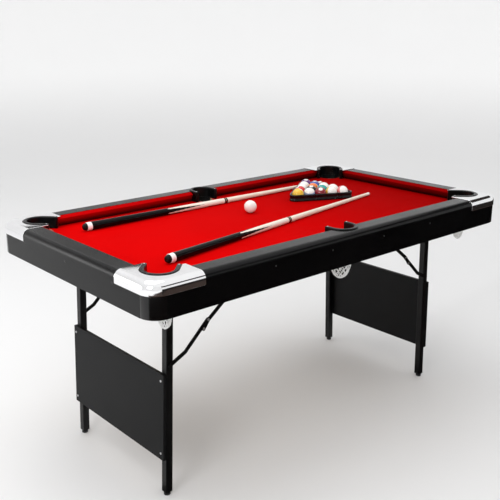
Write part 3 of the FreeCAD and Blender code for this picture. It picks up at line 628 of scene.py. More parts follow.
# ------------------------------------------------------------------ chrome corner caps
def make_cap(name, sx, sy):
    tk, rr, cr = 0.0022, 0.022, 0.054
    top = TOP_Z + tk
    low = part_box("rear_right_corner_cap")[0].z
    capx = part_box("rear_right_corner_cap")[0].x
    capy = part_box("rear_right_corner_cap")[0].y
    # frames along the path round the corner: (reference point on the outer face, inward direction)
    fr = []
    nx = 10
    for i in range(nx + 1):
        x = capx + (OUT_X - cr - capx) * i / nx
        fr.append((Vector((x, OUT_Y, 0)), Vector((0, -1, 0))))
    seg = 22
    for i in range(1, seg):
        a = math.pi / 2 * (1 - i / seg)
        d = Vector((math.cos(a), math.sin(a), 0))
        fr.append((Vector((OUT_X - cr, OUT_Y - cr, 0)) + d * cr, -d))
    for i in range(nx + 1):
        y = OUT_Y - cr - (OUT_Y - cr - capy) * i / nx
        fr.append((Vector((OUT_X, y, 0)), Vector((-1, 0, 0))))
    outer, inner = [], []
    A = 12
    for i in range(A + 1):          # from the flat top over the rounding
        a = math.pi / 2 + (math.pi / 2) * i / A
        outer.append((rr + (rr + tk) * math.cos(a), TOP_Z - rr + (rr + tk) * math.sin(a)))
        inner.append((rr + rr * math.cos(a), TOP_Z - rr + rr * math.sin(a)))
    # the skirt: straight down, with a small rolled lip at the bottom edge
    for z in (TOP_Z - rr - 0.006, TOP_Z - rr - 0.012, low + 0.0022, low + 0.0008, low):
        t = -tk
        if z <= low + 0.0009:
            t = -tk + 0.0006
        outer.append((t, z))
        inner.append((0.0, z))
    prof = outer + list(reversed(inner))
    n = len(prof)
    verts, faces = [], []
    for b, d in fr:
        for t, z in prof:
            v = b + d * t
            verts.append(Vector((v.x, v.y, z)))
    N = len(fr)
    no = len(outer)
    for i in range(N - 1):
        for k in range(n - 1):
            faces.append((i * n + k, i * n + k + 1, (i + 1) * n + k + 1, (i + 1) * n + k))
    # ends of the band
    faces.append(tuple(range(n)))
    faces.append(tuple(reversed(range((N - 1) * n, N * n))))
    # plate: U cut behind the pocket, its arms run toward the table
    p = POCKETS["rear_right"]
    k = p["out"] + 0.0006
    c = Vector((p["centre"].x, p["centre"].y, 0))
    d = Vector((-1, -1, 0)).normalized()
    q = Vector((-d.y, d.x, 0))      # perpendicular
    if (q.x - q.y) < 0:
        q = -q                      # toward +X, -Y : the end-rail arm
    # boundary from the end-rail side to the long-rail side
    lip_x = IN_X - 0.0233           # innermost edge of the plate on the end rail
    lip_y = IN_Y - 0.023
    ucut = []
    arm_len_e = None
    # arm edge of the end-rail side: points c + q*k + d*s ; find s where y == capy
    s_e = ((c + q * k).y - capy) / (-d.y)
    s_l = ((c - q * k).x - capx) / (-d.x)
    pe = c + q * k + d * min(s_e, 0.0495)
    pl = c - q * k + d * min(s_l, 0.0495)
    ucut.append(Vector((OUT_X - 0.054, capy, 0)))
    ucut.append(Vector((pe.x + 0.0008, capy, 0)))
    ucut.append(pe)
    for i in range(1, 4):
        ucut.append(c + q * k + d * (0.0495 * (1 - i / 4)))
    S = 40
    a0 = math.atan2(q.y, q.x)
    # go round the back of the pocket (away from the table)
    for i in range(S + 1):
        a = a0 + math.pi * i / S
        ucut.append(c + Vector((math.cos(a), math.sin(a), 0)) * k)
    for i in range(1, 4):
        ucut.append(c - q * k + d * (0.0495 * (i / 4)))
    ucut.append(pl)
    ucut.append(Vector((capx, pl.y + 0.0008, 0)))
    ucut.append(Vector((capx, OUT_Y - 0.054, 0)))
    # top and under faces of the plate
    off = len(verts)
    m = len(ucut)
    for v in ucut:
        verts.append(Vector((v.x, v.y, top)))
    for v in ucut:
        verts.append(Vector((v.x, v.y, TOP_Z + 0.0001)))
    ring_top = [i * n + 0 for i in range(N)]
    ring_low = [i * n + n - 1 for i in range(N)]
    faces.append(tuple(ring_top + [off + i for i in range(m)]))
    faces.append(tuple(reversed(ring_low + [off + m + i for i in range(m)])))
    for i in range(m - 1):
        faces.append((off + i, off + i + 1, off + m + i + 1, off + m + i))
    # join the walls at both straight cuts
    faces.append((ring_top[-1], off, off + m, ring_low[-1]))
    faces.append((off + m - 1, ring_top[0], ring_low[0], off + 2 * m - 1))
    verts = [Vector((v.x * sx, v.y * sy, v.z)) for v in verts]
    o = link_mesh(name, verts, faces, [M_CHROME], auto=math.radians(35))
    bv = o.modifiers.new("edge", "BEVEL")
    bv.width = 0.0006
    bv.segments = 2
    bv.limit_method = "ANGLE"
    bv.angle_limit = math.radians(50)
    wn = o.modifiers.new("normals", "WEIGHTED_NORMAL")
    wn.keep_sharp = True
    wn.weight = 100
    return o


for c in CORN:
    sx, sy = SIGN[c]
    o = make_cap(c + "_chrome_cap", sx, sy)
    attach(o, "table")
    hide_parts(c + "_corner_cap")

# ------------------------------------------------------------------ cushions
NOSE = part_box("rear_left_cushion")[0].y       # nose line of the long cushions
REACH = IN_Y - NOSE


def cushion_profile():
    """Points from the rail's top edge over the cushion to its foot: (reach, height)."""
    top = TOP_Z - 0.0007
    nz = TOP_Z - 0.0080
    pts = [(0.0004, BED_Z + 0.0002), (0.0004, top - 0.0008), (0.0010, top - 0.0001)]
    for i in range(1, 8):
        t = i / 8
        pts.append((0.001 + (REACH - 0.0035 - 0.001) * t, top - (top - nz - 0.0006) * (t ** 1.35)))
    cx, cz, r = REACH - 0.0026, nz - 0.0020, 0.0026
    for i in range(9):
        a = math.radians(75 - i * 20)
        pts.append((cx + r * math.cos(a), cz + r * math.sin(a)))
    for i in range(1, 5):
        t = i / 4
        pts.append((cx - 0.0005 + (0.0062 - cx) * t, cz - r + (BED_Z + 0.0004 - cz + r) * t))
    return pts


def make_cushion(name, place, length, cut0, cut1):
    """place(u, reach, z) puts a point on the table; u runs along the rail.
    cut0, cut1: how much the ends move along u with the reach."""
    prof = cushion_profile()
    n = len(prof)
    us = []
    steps = max(24, int(length / 0.02))
    verts, faces = [], []
    ends = [0.0, 0.0012, 0.0035]
    for i in range(steps + 1):
        us.append(i / steps)
    rows = []
    for t in us:
        rows.append(t)
    k = 0
    for ri, t in enumerate(rows):
        for rch, z in prof:
            lo = cut0 * rch
            hi = length - cut1 * rch
            u = lo + (hi - lo) * t
            verts.append(place(u, rch, z))
    R = len(rows)
    for i in range(R - 1):
        for k in range(n - 1):
            faces.append((i * n + k, i * n + k + 1, (i + 1) * n + k + 1, (i + 1) * n + k))
        faces.append((i * n + n - 1, i * n, (i + 1) * n, (i + 1) * n + n - 1))
    faces.append(tuple(range(n)))
    faces.append(tuple(reversed(range((R - 1) * n, R * n))))
    o = link_mesh(name, verts, faces, [M_CUSH], auto=math.radians(55))
    bv = o.modifiers.new("fold", "BEVEL")
    bv.width = 0.0012
    bv.segments = 3
    bv.limit_method = "ANGLE"
    bv.angle_limit = math.radians(50)
    return o


for nm, sx, sy in (("front_left", -1, -1), ("front_right", 1, -1), ("rear_left", -1, 1), ("rear_right", 1, 1)):
    lo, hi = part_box(nm + "_cushion")
    x0 = min(abs(lo.x), abs(hi.x)) + 0.0004
    x1 = max(abs(lo.x), abs(hi.x)) - 0.0004

    def place(u, rch, z, sx=sx, sy=sy, x0=x0):
        return Vector((sx * (x0 + u), sy * (IN_Y - rch), z))
    o = make_cushion(nm + "_cushion_cloth", place, x1 - x0, 0.0, 1.0)
    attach(o, "table")
    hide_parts(nm + "_cushion")
for nm, sx in (("left", -1), ("right", 1)):
    lo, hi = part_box(nm + "_cushion")

    def place(u, rch, z, sx=sx, lo=lo):
        return Vector((sx * (IN_X - rch), lo.y + 0.0004 + u, z))
    o = make_cushion(nm + "_cushion_cloth", place, hi.y - lo.y - 0.0008, 1.0, 1.0)
    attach(o, "table")
    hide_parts(nm + "_cushion")

# ------------------------------------------------------------------ bed cloth
def make_cloth():
    """Flat sheet with its edge turned down into each drop hole."""
    lo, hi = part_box("bed_cloth")
    bm = bmesh.new()
    z = hi.z - 0.0002
    cr = 0.039
    out = []
    for sx, sy, a0 in ((1, 1, 0), (-1, 1, 90), (-1, -1, 180), (1, -1, 270)):
        for i in range(7):
            a = math.radians(a0 + i * 15)
            out.append((sx * (hi.x - cr) + cr * math.cos(a), sy * (hi.y - cr) + cr * math.sin(a)))
    edges = []
    vs = [bm.verts.new((x, y, z)) for x, y in out]
    for i in range(len(vs)):
        edges.append(bm.edges.new((vs[i], vs[(i + 1) % len(vs)])))
    rings = []
    for key, p in POCKETS.items():
        r0 = 0.044 if "side" not in key else 0.0415
        r0 += 0.0016
        ring = []
        for i in range(48):
            a = TAU * i / 48
            ring.append(bm.verts.new((p["centre"].x + r0 * math.cos(a), p["centre"].y + r0 * math.sin(a), z)))
        for i in range(48):
            edges.append(bm.edges.new((ring[i], ring[(i + 1) % 48])))
        rings.append((p, r0, ring))
    bmesh.ops.triangle_fill(bm, use_beauty=True, use_dissolve=False, edges=edges)
    # drop faces that fell inside a hole
    gone = []
    for f in bm.faces:
        c = f.calc_center_median()
        for p, r0, ring in rings:
            if (c.xy - p["centre"]).length < r0 - 0.0005:
                gone.append(f)
                break
    bmesh.ops.delete(bm, geom=gone, context="FACES")
    for p, r0, ring in rings:
        prev = ring
        for dr, dz in ((0.0008, 0.0002), (0.0013, 0.0009), (0.0015, 0.0020), (0.0016, 0.0070)):
            nxt = []
            for i in range(48):
                a = TAU * i / 48
                r = r0 - dr
                nxt.append(bm.verts.new((p["centre"].x + r * math.cos(a), p["centre"].y + r * math.sin(a), z - dz)))
            for i in range(48):
                bm.faces.new((prev[i], prev[(i + 1) % 48], nxt[(i + 1) % 48], nxt[i]))
            prev = nxt
    bmesh.ops.recalc_face_normals(bm, faces=bm.faces)
    up = sum(1 if f.normal.z > 0 else -1 for f in bm.faces if abs(f.normal.z) > 0.9)
    if up < 0:
        bmesh.ops.reverse_faces(bm, faces=bm.faces)
    me = bpy.data.meshes.new("bed_cloth_sheet")
    bm.to_mesh(me)
    bm.free()
    for q in me.polygons:
        q.use_smooth = True
    me.materials.append(M_CLOTH)
    o = bpy.data.objects.new("bed_cloth_sheet", me)
    bpy.context.scene.collection.objects.link(o)
    return o


cloth = make_cloth()
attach(cloth, "table")
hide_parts("bed_cloth")

# ------------------------------------------------------------------ pocket nets
def net_radius(z, extra):
    """Outside radius of the net bag at a height, from its CAD solid's own points."""
    tab = [(0.616, 0.014), (0.628, 0.0275), (0.650, 0.0365), (0.693, 0.043 + extra), (0.746, 0.046 + extra)]
    for (z0, r0), (z1, r1) in zip(tab[:-1], tab[1:]):
        if z <= z1:
            return r0 + (r1 - r0) * (z - z0) / (z1 - z0)
    return tab[-1][1]


def make_net(name, centre, extra, seed, lean):
    """Knotted cord net. It hangs empty, so it is drawn in below the bed and swings
    a little towards the table's middle; it stays inside its CAD bag."""
    rng = random.Random(seed)
    n, rows = 12, 11
    z_top, z_low = UNDER_Z - 0.002, 0.6225
    if extra:
        # corner nets hang drawn in
        limp = [(0.6225, 0.0085), (0.632, 0.0150), (0.650, 0.0192), (0.672, 0.0226), (0.693, 0.0256), (0.715, 0.0335),
                (0.746, 0.0438 + extra * 0.8)]
    else:
        # side nets hang open
        z_low = 0.6205
        limp = [(0.6205, 0.0120), (0.630, 0.0240), (0.650, 0.0322), (0.672, 0.0358), (0.693, 0.0382), (0.715, 0.0400),
                (0.746, 0.0438)]

    def rad_at(z):
        if z <= limp[0][0]:
            return limp[0][1]
        for (z0, r0), (z1, r1) in zip(limp[:-1], limp[1:]):
            if z <= z1:
                return r0 + (r1 - r0) * (z - z0) / (z1 - z0)
        return limp[-1][1]

    def mid_at(z):
        k = max(0.0, min(1.0, (z_top - z) / 0.06))
        return Vector((centre.x, centre.y, 0)) + lean * (k * k * (3 - 2 * k))
    grid = []
    for j in range(rows + 1):
        t = j / rows
        z = z_top + (z_low - z_top) * (t ** 0.92)
        row = []
        for i in range(n):
            a = TAU * (i + 0.5 * (j % 2)) / n + rng.uniform(-0.05, 0.05) * (1 if j else 0)
            zz = z + (rng.uniform(-0.0022, 0.0022) if 0 < j < rows else 0)
            fold = 1.0 + (0.10 * math.sin(3 * a + seed) if j > 1 else 0.0)
            r = rad_at(zz) * fold - (rng.uniform(0, 0.0016) if j else 0)
            mc = mid_at(zz)
            row.append(Vector((mc.x + r * math.cos(a), mc.y + r * math.sin(a), zz)))
        grid.append(row)
    parts = []
    rad = 0.00125
    for j in range(rows):
        for i in range(n):
            a = grid[j][i]
            if j % 2 == 0:
                nb = (grid[j + 1][i], grid[j + 1][(i - 1) % n])
            else:
                nb = (grid[j + 1][i], grid[j + 1][(i + 1) % n])
            for b in nb:
                mid = (a + b) / 2
                outd = Vector((mid.x - centre.x, mid.y - centre.y, 0))
                if outd.length > 1e-6:
                    outd.normalize()
                sag = Vector((0, 0, -1)) * rng.uniform(0.0002, 0.0012)
                path = [a, a * 0.75 + b * 0.25 + sag * 0.7, mid + sag, a * 0.25 + b * 0.75 + sag * 0.7, b]
                parts.append(tube_data(path, rad, 6))
            if j:
                kn = [(0.0, 0.0021), (0.0015, 0.0015), (0.0021, 0.0002), (0.0017, -0.0013), (0.0, -0.0019)]
                parts.append(lathe_data(kn, a, (0.3, 0.2, 1), 7))
    # head cord under the bed and the tied bottom
    for z, r in ((z_top, rad_at(z_top)),):
        ring = [Vector((centre.x + r * math.cos(TAU * i / 36), centre.y + r * math.sin(TAU * i / 36), z)) for i in range(36)]
        parts.append(tube_data(ring, 0.0014, 7, closed=True))
    base = mid_at(0.6205)
    base.z = 0.6205
    for i in range(n):
        a = grid[rows][i]
        parts.append(tube_data([a, (a + base) / 2 + Vector((0, 0, -0.0014)), base], rad, 6))
    parts.append(lathe_data([(0.0, 0.003), (0.003, 0.0022), (0.0042, 0.0), (0.0036, -0.0026), (0.0, -0.0038)], base, (0, 0, 1), 14))
    v, f = merge(parts)
    return link_mesh(name, v, f, [M_CORD])


for idx, (key, p) in enumerate(POCKETS.items()):
    way = Vector((-p["centre"].x, -p["centre"].y, 0)).normalized() if "side" not in key else Vector((0, -p["centre"].y, 0)).normalized()
    if "side" not in key:
        way = Vector((-math.copysign(1.0, p["centre"].x), 0, 0))
    o = make_net(key + "_net_cords", p["centre"], 0.001 if "side" not in key else 0.0, 11 + idx, way * (0.0145 if "side" not in key else 0.001))
    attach(o, "table")
    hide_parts(p["net"])

# ------------------------------------------------------------------ balls
def ball_centres(node):
    """Centres of the balls in a node, from its separate shells."""
    o = NODES[node]
    mw = o.matrix_world
    me = o.data
    par = list(range(len(me.vertices)))

    def root(i):
        while par[i] != i:
            par[i] = par[par[i]]
            i = par[i]
        return i
    for e in me.edges:
        a, b = root(e.vertices[0]), root(e.vertices[1])
        if a != b:
            par[a] = b
    groups = {}
    for v in me.vertices:
        groups.setdefault(root(v.index), []).append(mw @ v.co)
    out = []
    for pts in groups.values():
        lo = Vector((min(p.x for p in pts), min(p.y for p in pts), min(p.z for p in pts)))
        hi = Vector((max(p.x for p in pts), max(p.y for p in pts), max(p.z for p in pts)))
        c = (lo + hi) / 2
        if not any((c - q).length < 0.01 for q, _ in out):
            out.append((c, (hi - lo).x / 2))
    return out


def ball_mat(name, col, stripe, seed):
    """Resin ball. The mesh carries its own regions, so the colours are two or
    three plain resins with fine scratches and a faint cloud in them."""
    m, nt, b = new_mat(name)
    g = G(nt)
    c = g.coord()
    n1 = g.noise(c, 60.0, 3.0, 0.5)
    n2 = g.noise(c, 900.0, 2.0, 0.6)
    lo = tuple(v * 0.93 for v in col) + (1,)
    hi = tuple(min(1.0, v * 1.05) for v in col) + (1,)
    r = g.ramp(n1, [(0.35, lo), (0.65, hi)])
    g.link(r, b.inputs["Base Color"])
    g.link(g.maprange(n2, 0.3, 0.7, 0.055, 0.11), b.inputs["Roughness"])
    g.link(g.bump(n2, 0.012, 0.0002), b.inputs["Normal"])
    b.inputs["Coat Weight"].default_value = 0.35
    b.inputs["Coat Roughness"].default_value = 0.04
    b.inputs["IOR"].default_value = 1.5
    return m


IVORY = ball_mat("ball_ivory", (0.86, 0.845, 0.80), False, 1)
INK = ball_mat("ball_ink", (0.012, 0.012, 0.013), False, 2)
BALL_COL = {
    "yellow": (0.83, 0.50, 0.030), "blue": (0.035, 0.075, 0.34), "red": (0.62, 0.016, 0.020),
    "purple": (0.13, 0.030, 0.18), "orange": (0.80, 0.17, 0.022), "green": (0.010, 0.17, 0.080),
    "maroon": (0.26, 0.014, 0.020), "black": (0.012, 0.012, 0.013), "pink": (0.70, 0.20, 0.22),
    "teal": (0.010, 0.30, 0.27), "silver": (0.26, 0.33, 0.52),
}
BALL_MATS = {k: ball_mat("ball_" + k, v, False, 3 + i) for i, (k, v) in enumerate(BALL_COL.items())}

SEG7 = {"0": "abcdef", "1": "bc", "2": "abged", "3": "abgcd", "4": "fgbc", "5": "afgcd", "6": "afgedc", "7": "abc", "8": "abcdefg", "9": "abcdfg"}


def digit_strokes(ch, ox, s):
    """A plain hand-cut numeral as thick line segments in a unit cell."""
    w, h = 0.30 * s, 0.52 * s
    P = {"a": ((-w, h), (w, h)), "b": ((w, h), (w, 0)), "c": ((w, 0), (w, -h)), "d": ((-w, -h), (w, -h)),
         "e": ((-w, -h), (-w, 0)), "f": ((-w, 0), (-w, h)), "g": ((-w, 0), (w, 0))}
    return [((a[0] + ox, a[1]), (b[0] + ox, b[1])) for a, b in (P[k] for k in SEG7[ch])]


def on_seg(px, py, a, b, t):
    dx, dy = b[0] - a[0], b[1] - a[1]
    L = dx * dx + dy * dy
    u = 0 if L == 0 else max(0, min(1, ((px - a[0]) * dx + (py - a[1]) * dy) / L))
    return math.hypot(px - a[0] - u * dx, py - a[1] - u * dy) < t


def make_ball(name, centre, radius, number, colour, euler):
    """Sphere as a subdivided cube; faces are given resin by where they lie:
    stripe band, number spot, numeral."""
    bm = bmesh.new()
    bmesh.ops.create_cube(bm, size=2.0)
    bmesh.ops.subdivide_edges(bm, edges=bm.edges, cuts=40, use_grid_fill=True)
    for v in bm.verts:
        x, y, z = v.co
        v.co = Vector((x * math.sqrt(max(0, 1 - y * y / 2 - z * z / 2 + y * y * z * z / 3)),
                       y * math.sqrt(max(0, 1 - z * z / 2 - x * x / 2 + z * z * x * x / 3)),
                       z * math.sqrt(max(0, 1 - x * x / 2 - y * y / 2 + x * x * y * y / 3))))
    striped = number > 8
    txt = str(number) if number else ""
    strokes = []
    for i, ch in enumerate(txt):
        ox = (i - (len(txt) - 1) / 2) * 0.165
        strokes += digit_strokes(ch, ox, 0.20 if len(txt) == 1 else 0.17)
    for f in bm.faces:
        c = f.calc_center_median().normalized()
        idx = 0
        if number:
            idx = 1
            if striped and abs(c.z) > 0.52:
                idx = 0
            spot = math.hypot(c.y, c.z)
            if spot < 0.34:
                idx = 0
                yy = c.y if c.x > 0 else -c.y
                if any(on_seg(yy, c.z, a, b, 0.026) for a, b in strokes):
                    idx = 2
        f.material_index = idx
        f.smooth = True
    rot = Euler(euler).to_matrix()
    for v in bm.verts:
        v.co = rot @ (v.co.normalized() * radius) + centre
    me = bpy.data.meshes.new(name)
    bm.to_mesh(me)
    bm.free()
    for mt in (IVORY, BALL_MATS.get(colour, IVORY), INK):
        me.materials.append(mt)
    o = bpy.data.objects.new(name, me)
    bpy.context.scene.collection.objects.link(o)
    return o


cc = ball_centres("cue_ball")
o = make_ball("cue_ball_resin", cc[0][0], 0.024 - 0.00005, 0, "", (0.2, 0.4, 0.1))
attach(o, "cue_ball_body")
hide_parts("cue_ball")

# Balls by row from the near apex row: sorted from the camera's side.
bc = [c for c, r in ball_centres("object_balls")]
e1 = Vector((175, -82, 0)).normalized()
e2 = Matrix.Rotation(math.radians(60), 3, "Z") @ e1
P0 = Vector((0.285, 0.112, bc[0].z))
order = {}
for c in bc:
    d = c - P0
    # solve d = a*e1 + b*e2 on the pitch grid
    det = e1.x * e2.y - e1.y * e2.x
    a = (d.x * e2.y - d.y * e2.x) / det / 0.04825
    b = (e1.x * d.y - e1.y * d.x) / det / 0.04825
    order[(round(a), round(b))] = c
print("ball grid", sorted(order))

# (row step, column step) -> (number, colour, way the striped pole or the spot looks, roll).
# The near row runs along e1; CAMD is roughly the way the photographer stood.
CAMD = Vector((-0.60, -0.68, 0.42)).normalized()
UPD = Vector((0, 0, 1))
SIDED = Vector((0.75, -0.62, 0.25)).normalized()
PLAN = {
    (0, 0): (1, "yellow", "x", UPD + SIDED * 0.6, 0.4), (1, 0): (10, "silver", "z", CAMD * 0.5 + UPD, 0.9),
    (2, 0): (7, "maroon", "x", CAMD + UPD * 0.9, 2.2), (3, 0): (9, "yellow", "z", CAMD + SIDED * 0.25, 0.7),
    (4, 0): (11, "pink", "z", CAMD + SIDED * 0.55, 0.2),
    (0, 1): (3, "red", "x", UPD - SIDED * 0.5, 1.6), (1, 1): (8, "black", "x", CAMD * 0.4 + UPD, -1.2),
    (2, 1): (6, "teal", "x", UPD - CAMD * 0.3, 0.9), (3, 1): (13, "orange", "z", CAMD * 0.7 + UPD * 0.6, 1.9),
    (0, 2): (12, "purple", "z", CAMD + UPD * 0.25, 2.6), (1, 2): (5, "orange", "x", SIDED + UPD * 0.3, -1.0),
    (2, 2): (14, "green", "z", UPD + CAMD * 0.5, 0.6),
    (0, 3): (15, "maroon", "z", CAMD + UPD * 0.5, 0.4), (1, 3): (2, "blue", "x", UPD, 2.9),
    (0, 4): (4, "purple", "x", UPD + CAMD * 0.2, -0.7),
}
assert len(order) == 15, sorted(order)
for key, (num, col, ax, way, roll) in PLAN.items():
    src = Vector((1, 0, 0)) if ax == "x" else Vector((0, 0, 1))
    way = way.normalized()
    q = Quaternion(way, roll) @ src.rotation_difference(way)
    o = make_ball("ball_%02d" % num, order[key], 0.024 - 0.00005, num, col, q.to_euler())
    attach(o, "object_balls_body")
    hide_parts("object_balls")

# ------------------------------------------------------------------ rack
def make_rack():
    lo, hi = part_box("ball_rack")
    verts3 = [P0.copy(), P0 + e1 * 4 * 0.04825, P0 + e2 * 4 * 0.04825]
    cen = (verts3[0] + verts3[1] + verts3[2]) / 3
    ro, rc, ri = 0.032, 0.024, 0.0252
    cs = []
    for v in verts3:
        d = (v - cen)
        d.z = 0
        d.normalize()
        cs.append((v + d * (2 * (ro - rc)), d))
    path = []
    for k in range(3):
        c, d = cs[k]
        prevd, nextd = cs[(k - 1) % 3][0], cs[(k + 1) % 3][0]
        n0 = (c - prevd).normalized()
        n0 = Vector((n0.y, -n0.x, 0))
        n1 = (nextd - c).normalized()
        n1 = Vector((n1.y, -n1.x, 0))
        a0, a1 = math.atan2(n0.y, n0.x), math.atan2(n1.y, n1.x)
        while a1 < a0:
            a1 += TAU
        for i in range(17):
            a = a0 + (a1 - a0) * i / 16
            path.append((c, Vector((math.cos(a), math.sin(a), 0))))
        # straight run to the next corner
        for i in range(1, 12):
            path.append((c + (nextd - c) * i / 12, n1))
    wall = ro - ri
    z0, z1 = lo.z + 0.0001, hi.z - 0.0001
    h = z1 - z0
    prof = []
    rr = 0.0020
    for cx, cz, a0 in ((-rr, z0 + rr, -90), (-rr, z1 - rr, 0), (-wall + rr, z1 - rr, 90), (-wall + rr, z0 + rr, 180)):
        for i in range(5):
            a = math.radians(a0 + i * 22.5)
            prof.append((cx + rr * math.cos(a), cz + rr * math.sin(a)))
    # a shallow groove along the outside, as moulded racks have
    g0 = []
    for i, (t, z) in enumerate(prof):
        g0.append((t, z))
        if i == 4:
            g0 += [(0.0, z0 + h * 0.30), (-0.0010, z0 + h * 0.36), (-0.0010, z0 + h * 0.64), (0.0, z0 + h * 0.70)]
    prof = g0
    n = len(prof)
    verts, faces = [], []
    for c, d in path:
        for t, z in prof:
            v = c + d * (rc + t)
            verts.append((v.x, v.y, z))
    N = len(path)
    for i in range(N):
        j = (i + 1) % N
        for k in range(n):
            k2 = (k + 1) % n
            faces.append((i * n + k, j * n + k, j * n + k2, i * n + k2))
    return link_mesh("ball_rack_moulding", verts, faces, [M_RACK], auto=math.radians(40))


o = make_rack()
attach(o, "ball_rack_body")
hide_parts("ball_rack")

# ------------------------------------------------------------------ cues
def wood_mat(name, light, dark, ring):
    m, nt, b = new_mat(name)
    g = G(nt)
    c = g.coord((1.6, 30.0, 30.0), kind="Object")
    n1 = g.noise(c, 3.0, 6.0, 0.55, 0.6)
    c2 = g.coord((14.0, 260.0, 260.0), kind="Object")
    n2 = g.noise(c2, 2.0, 3.0, 0.6)
    r = g.ramp(n1, [(0.3, dark + (1,)), (0.62, light + (1,))])
    r2 = g.ramp(n2, [(0.3, (0.82, 0.80, 0.77, 1)), (0.6, (1, 1, 1, 1))])
    g.link(g.mix(0.6, r, r2, "MULTIPLY"), b.inputs["Base Color"])
    g.link(g.maprange(n2, 0.3, 0.7, 0.20, 0.32), b.inputs["Roughness"])
    g.link(g.bump(n2, 0.05, 0.0003), b.inputs["Normal"])
    b.inputs["Coat Weight"].default_value = 0.5
    b.inputs["Coat Roughness"].default_value = 0.08
    return m


M_MAPLE = wood_mat("cue_maple", (0.86, 0.79, 0.67), (0.78, 0.69, 0.55), 0)
M_CREAM = wood_mat("cue_cream", (0.88, 0.83, 0.73), (0.83, 0.77, 0.65), 0)
M_BUTT = mat_plastic("cue_black_lacquer", (0.0010, 0.0010, 0.0011), 0.15, amount=0.03, spec=0.13)
M_RING = mat_plastic("cue_white_ring", (0.84, 0.84, 0.82), 0.25, amount=0.03)
M_BUMP = mat_plastic("cue_rubber", (0.003, 0.003, 0.003), 0.46, spec=0.15)
M_LEATH = mat_plastic("cue_leather_tip", (0.56, 0.42, 0.36), 0.78)
M_JOINT = mat_metal("cue_joint_metal", (0.50, 0.44, 0.30), 0.24)


